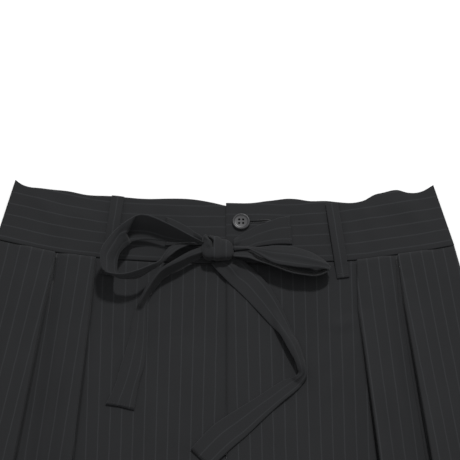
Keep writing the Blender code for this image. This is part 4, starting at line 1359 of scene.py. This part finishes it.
def make_stage(settings):
    """A pale floor, a key light from beyond the waist, a weak all-round light and the camera."""
    half, drop = settings.floor_size / 2, settings.floor_drop
    corners = [(-half, -half, -drop), (half, -half, -drop), (half, half, -drop), (-half, half, -drop)]
    mesh = bpy.data.meshes.new("studio_floor")
    mesh.from_pydata(corners, [], [(0, 1, 2, 3)])
    mesh.materials.append(material_of("pale studio floor", pale_floor, settings))
    floor = bpy.data.objects.new("studio_floor", mesh)
    bpy.context.scene.collection.objects.link(floor)

    world = bpy.data.worlds.new("soft_room")
    world.use_nodes = True
    background = world.node_tree.nodes["Background"]
    background.inputs["Color"].default_value = (1.0, 1.0, 1.0, 1.0)
    background.inputs["Strength"].default_value = settings.room_strength
    bpy.context.scene.world = world

    target = Vector(settings.camera_target)
    rise, turn = settings.key_elevation, settings.key_turn
    toward = Vector((math.sin(turn) * math.cos(rise), math.cos(turn) * math.cos(rise), math.sin(rise)))
    lamp = bpy.data.lights.new("key_softbox", "AREA")
    lamp.shape = "DISK"
    lamp.size = settings.key_size
    lamp.energy = settings.key_power
    key = bpy.data.objects.new("key_softbox", lamp)
    key.location = target + toward * settings.key_distance
    key.rotation_mode = "QUATERNION"
    key.rotation_quaternion = toward.to_track_quat("Z", "Y")
    bpy.context.scene.collection.objects.link(key)

    camera_data = bpy.data.cameras.new("camera")
    camera_data.lens = settings.lens
    camera_data.clip_end = 100.0
    camera = bpy.data.objects.new("camera", camera_data)
    distance = settings.frame_width * settings.lens / camera_data.sensor_width
    tilt = settings.camera_elevation
    back = Vector((0.0, -math.cos(tilt), math.sin(tilt)))
    camera.location = target + back * distance
    camera.rotation_mode = "QUATERNION"
    camera.rotation_quaternion = back.to_track_quat("Z", "Y")
    bpy.context.scene.collection.objects.link(camera)
    bpy.context.scene.camera = camera
    bpy.context.scene.view_settings.view_transform = "Standard"


def length_property(name, description, default, **more):
    """A length in metres."""
    return bpy.props.FloatProperty(name=name, description=description, default=default, unit="LENGTH",
                                   subtype="DISTANCE", precision=5, **more)


def colour_property(name, description, default):
    """A colour."""
    return bpy.props.FloatVectorProperty(name=name, description=description, default=default,
                                         subtype="COLOR", min=0.0, max=1.0)


def angle_property(name, description, default):
    """An angle."""
    return bpy.props.FloatProperty(name=name, description=description, default=math.radians(default),
                                   unit="ROTATION", subtype="ANGLE")


class HakamaCloth(bpy.types.PropertyGroup):
    """Colours and weave of the cloth."""

    colour: colour_property("Ground", "Colour between the pinstripes", (0.0104, 0.0109, 0.0120))
    stripe_colour: colour_property("Pinstripe", "Colour of the paler thread", (0.0192, 0.0203, 0.0222))
    thread_colour: colour_property("Sewing thread", "Colour of the stitches", (0.012, 0.0125, 0.0135))
    stripe_pitch: length_property("Pinstripe pitch", "Distance from stripe to stripe", 0.0111)
    stripe_width: length_property("Pinstripe width", "Width of a stripe", 0.0011)
    twill_pitch: length_property("Twill pitch", "Distance between the slanted ribs", 0.0009)
    pick_length: length_property("Pick length", "Length of one float of the paler thread", 0.0022)


class HakamaButton(bpy.types.PropertyGroup):
    """Sizes and colour of the button."""

    colour: colour_property("Plastic", "Colour of the button", (0.029, 0.029, 0.031))
    radius: length_property("Radius", "Half the button's width", 0.0085)
    height: length_property("Height", "Height of the button", 0.0024)
    rim: length_property("Rim", "Width of the raised rim", 0.0019)
    eye_radius: length_property("Eye radius", "Half the width of an eye", 0.00112)
    eye_spread: length_property("Eye spread", "Distance of an eye from the middle lines", 0.0019)


class HakamaStage(bpy.types.PropertyGroup):
    """Floor, lights and camera."""

    floor_colour: colour_property("Floor", "Colour of the floor", (0.9, 0.9, 0.9))
    floor_size: length_property("Floor size", "Side of the floor", 14.0)
    floor_drop: length_property("Floor drop", "Gap between the floor and the garment", 0.0001)
    room_strength: bpy.props.FloatProperty(name="Room light", description="Light from all round",
                                           default=0.62)
    key_power: bpy.props.FloatProperty(name="Key light", description="Power of the key light in watts",
                                       default=74.0, unit="POWER")
    key_size: length_property("Key size", "Width of the key light", 0.34)
    key_distance: length_property("Key distance", "Distance of the key light", 3.0)
    key_elevation: angle_property("Key elevation", "Height of the key light above the floor", 53.2)
    key_turn: angle_property("Key turn", "Turn of the key light from +Y towards +X", 12.7)
    camera_elevation: angle_property("Camera elevation", "Height of the camera above the floor", 64.04)
    camera_target: bpy.props.FloatVectorProperty(name="Camera target", subtype="XYZ", unit="LENGTH",
                                                 description="Point in the middle of the frame",
                                                 default=(0.0038, 0.4319, 0.005))
    frame_width: length_property("Frame width", "Width that the camera sees at its target", 0.437)
    lens: bpy.props.FloatProperty(name="Lens", description="Focal length in millimetres", default=500.0)


class HAKAMA_OT_back_legs(bpy.types.Operator):
    """Makes the two plain back panels"""

    bl_idname = "hakama.back_legs"
    bl_label = "Back legs"

    def execute(self, context):
        for side in SIDES:
            make_back_leg(side)
        return {"FINISHED"}


class HAKAMA_OT_front_legs(bpy.types.Operator):
    """Makes the two pleated front panels"""

    bl_idname = "hakama.front_legs"
    bl_label = "Front legs"

    def execute(self, context):
        for side in SIDES:
            make_front_leg(side)
        return {"FINISHED"}


class HAKAMA_OT_waistbands(bpy.types.Operator):
    """Makes the three waistband pieces and cuts the buttonhole"""

    bl_idname = "hakama.waistbands"
    bl_label = "Waistbands"

    def execute(self, context):
        make_waistbands()
        return {"FINISHED"}


class HAKAMA_OT_belt_loops(bpy.types.Operator):
    """Makes the belt loops"""

    bl_idname = "hakama.belt_loops"
    bl_label = "Belt loops"

    def execute(self, context):
        make_belt_loops()
        return {"FINISHED"}


class HAKAMA_OT_button(bpy.types.Operator):
    """Makes the button"""

    bl_idname = "hakama.button"
    bl_label = "Button"

    def execute(self, context):
        make_button(context.scene.hakama_button)
        return {"FINISHED"}


class HAKAMA_OT_tie_bases(bpy.types.Operator):
    """Makes the sewn starts of the two ties"""

    bl_idname = "hakama.tie_bases"
    bl_label = "Tie bases"

    def execute(self, context):
        for side in SIDES:
            make_tie(f"tie_base_{side}")
        return {"FINISHED"}


class HAKAMA_OT_bow(bpy.types.Operator):
    """Makes the two loops and the knot of the bow"""

    bl_idname = "hakama.bow"
    bl_label = "Bow"

    def execute(self, context):
        for side in SIDES:
            make_tie(f"bow_loop_{side}")
        make_knot()
        return {"FINISHED"}


class HAKAMA_OT_tie_tails(bpy.types.Operator):
    """Makes the two hanging ends of the ties"""

    bl_idname = "hakama.tie_tails"
    bl_label = "Tie tails"

    def execute(self, context):
        for side in SIDES:
            make_tie(f"tie_tail_{side}")
        return {"FINISHED"}


class HAKAMA_OT_stitches(bpy.types.Operator):
    """Makes the stitches, the buttonhole's edge and the button's thread"""

    bl_idname = "hakama.stitches"
    bl_label = "Stitches"

    def execute(self, context):
        make_stitches()
        return {"FINISHED"}


class HAKAMA_OT_stage(bpy.types.Operator):
    """Makes the floor, the lights and the camera"""

    bl_idname = "hakama.stage"
    bl_label = "Stage"

    def execute(self, context):
        make_stage(context.scene.hakama_stage)
        return {"FINISHED"}


OPERATORS = (
    HAKAMA_OT_back_legs,
    HAKAMA_OT_front_legs,
    HAKAMA_OT_waistbands,
    HAKAMA_OT_belt_loops,
    HAKAMA_OT_button,
    HAKAMA_OT_tie_bases,
    HAKAMA_OT_bow,
    HAKAMA_OT_tie_tails,
    HAKAMA_OT_stitches,
    HAKAMA_OT_stage,
)
GROUPS = {"hakama_cloth": HakamaCloth, "hakama_button": HakamaButton, "hakama_stage": HakamaStage}


class HAKAMA_PT_panel(bpy.types.Panel):
    """Lists the pieces and their sizes"""

    bl_idname = "HAKAMA_PT_panel"
    bl_label = "Hakama trousers"
    bl_space_type = "VIEW_3D"
    bl_region_type = "UI"
    bl_category = "Hakama"

    def draw(self, context):
        layout = self.layout
        for operator in OPERATORS:
            layout.operator(operator.bl_idname)
        for name, group in GROUPS.items():
            box = layout.box()
            for key in group.__annotations__:
                box.prop(getattr(context.scene, name), key)


def register():
    for group in GROUPS.values():
        bpy.utils.register_class(group)
    for operator in OPERATORS:
        bpy.utils.register_class(operator)
    bpy.utils.register_class(HAKAMA_PT_panel)
    for name, group in GROUPS.items():
        setattr(bpy.types.Scene, name, bpy.props.PointerProperty(type=group))


def unregister():
    for name in GROUPS:
        delattr(bpy.types.Scene, name)
    bpy.utils.unregister_class(HAKAMA_PT_panel)
    for operator in reversed(OPERATORS):
        bpy.utils.unregister_class(operator)
    for group in reversed(GROUPS.values()):
        bpy.utils.unregister_class(group)


def main():
    register()
    bpy.ops.hakama.stage()
    bpy.ops.hakama.back_legs()
    bpy.ops.hakama.front_legs()
    bpy.ops.hakama.waistbands()
    bpy.ops.hakama.belt_loops()
    bpy.ops.hakama.tie_bases()
    bpy.ops.hakama.bow()
    bpy.ops.hakama.tie_tails()
    bpy.ops.hakama.button()
    bpy.ops.hakama.stitches()


if __name__ == "__main__":
    main()
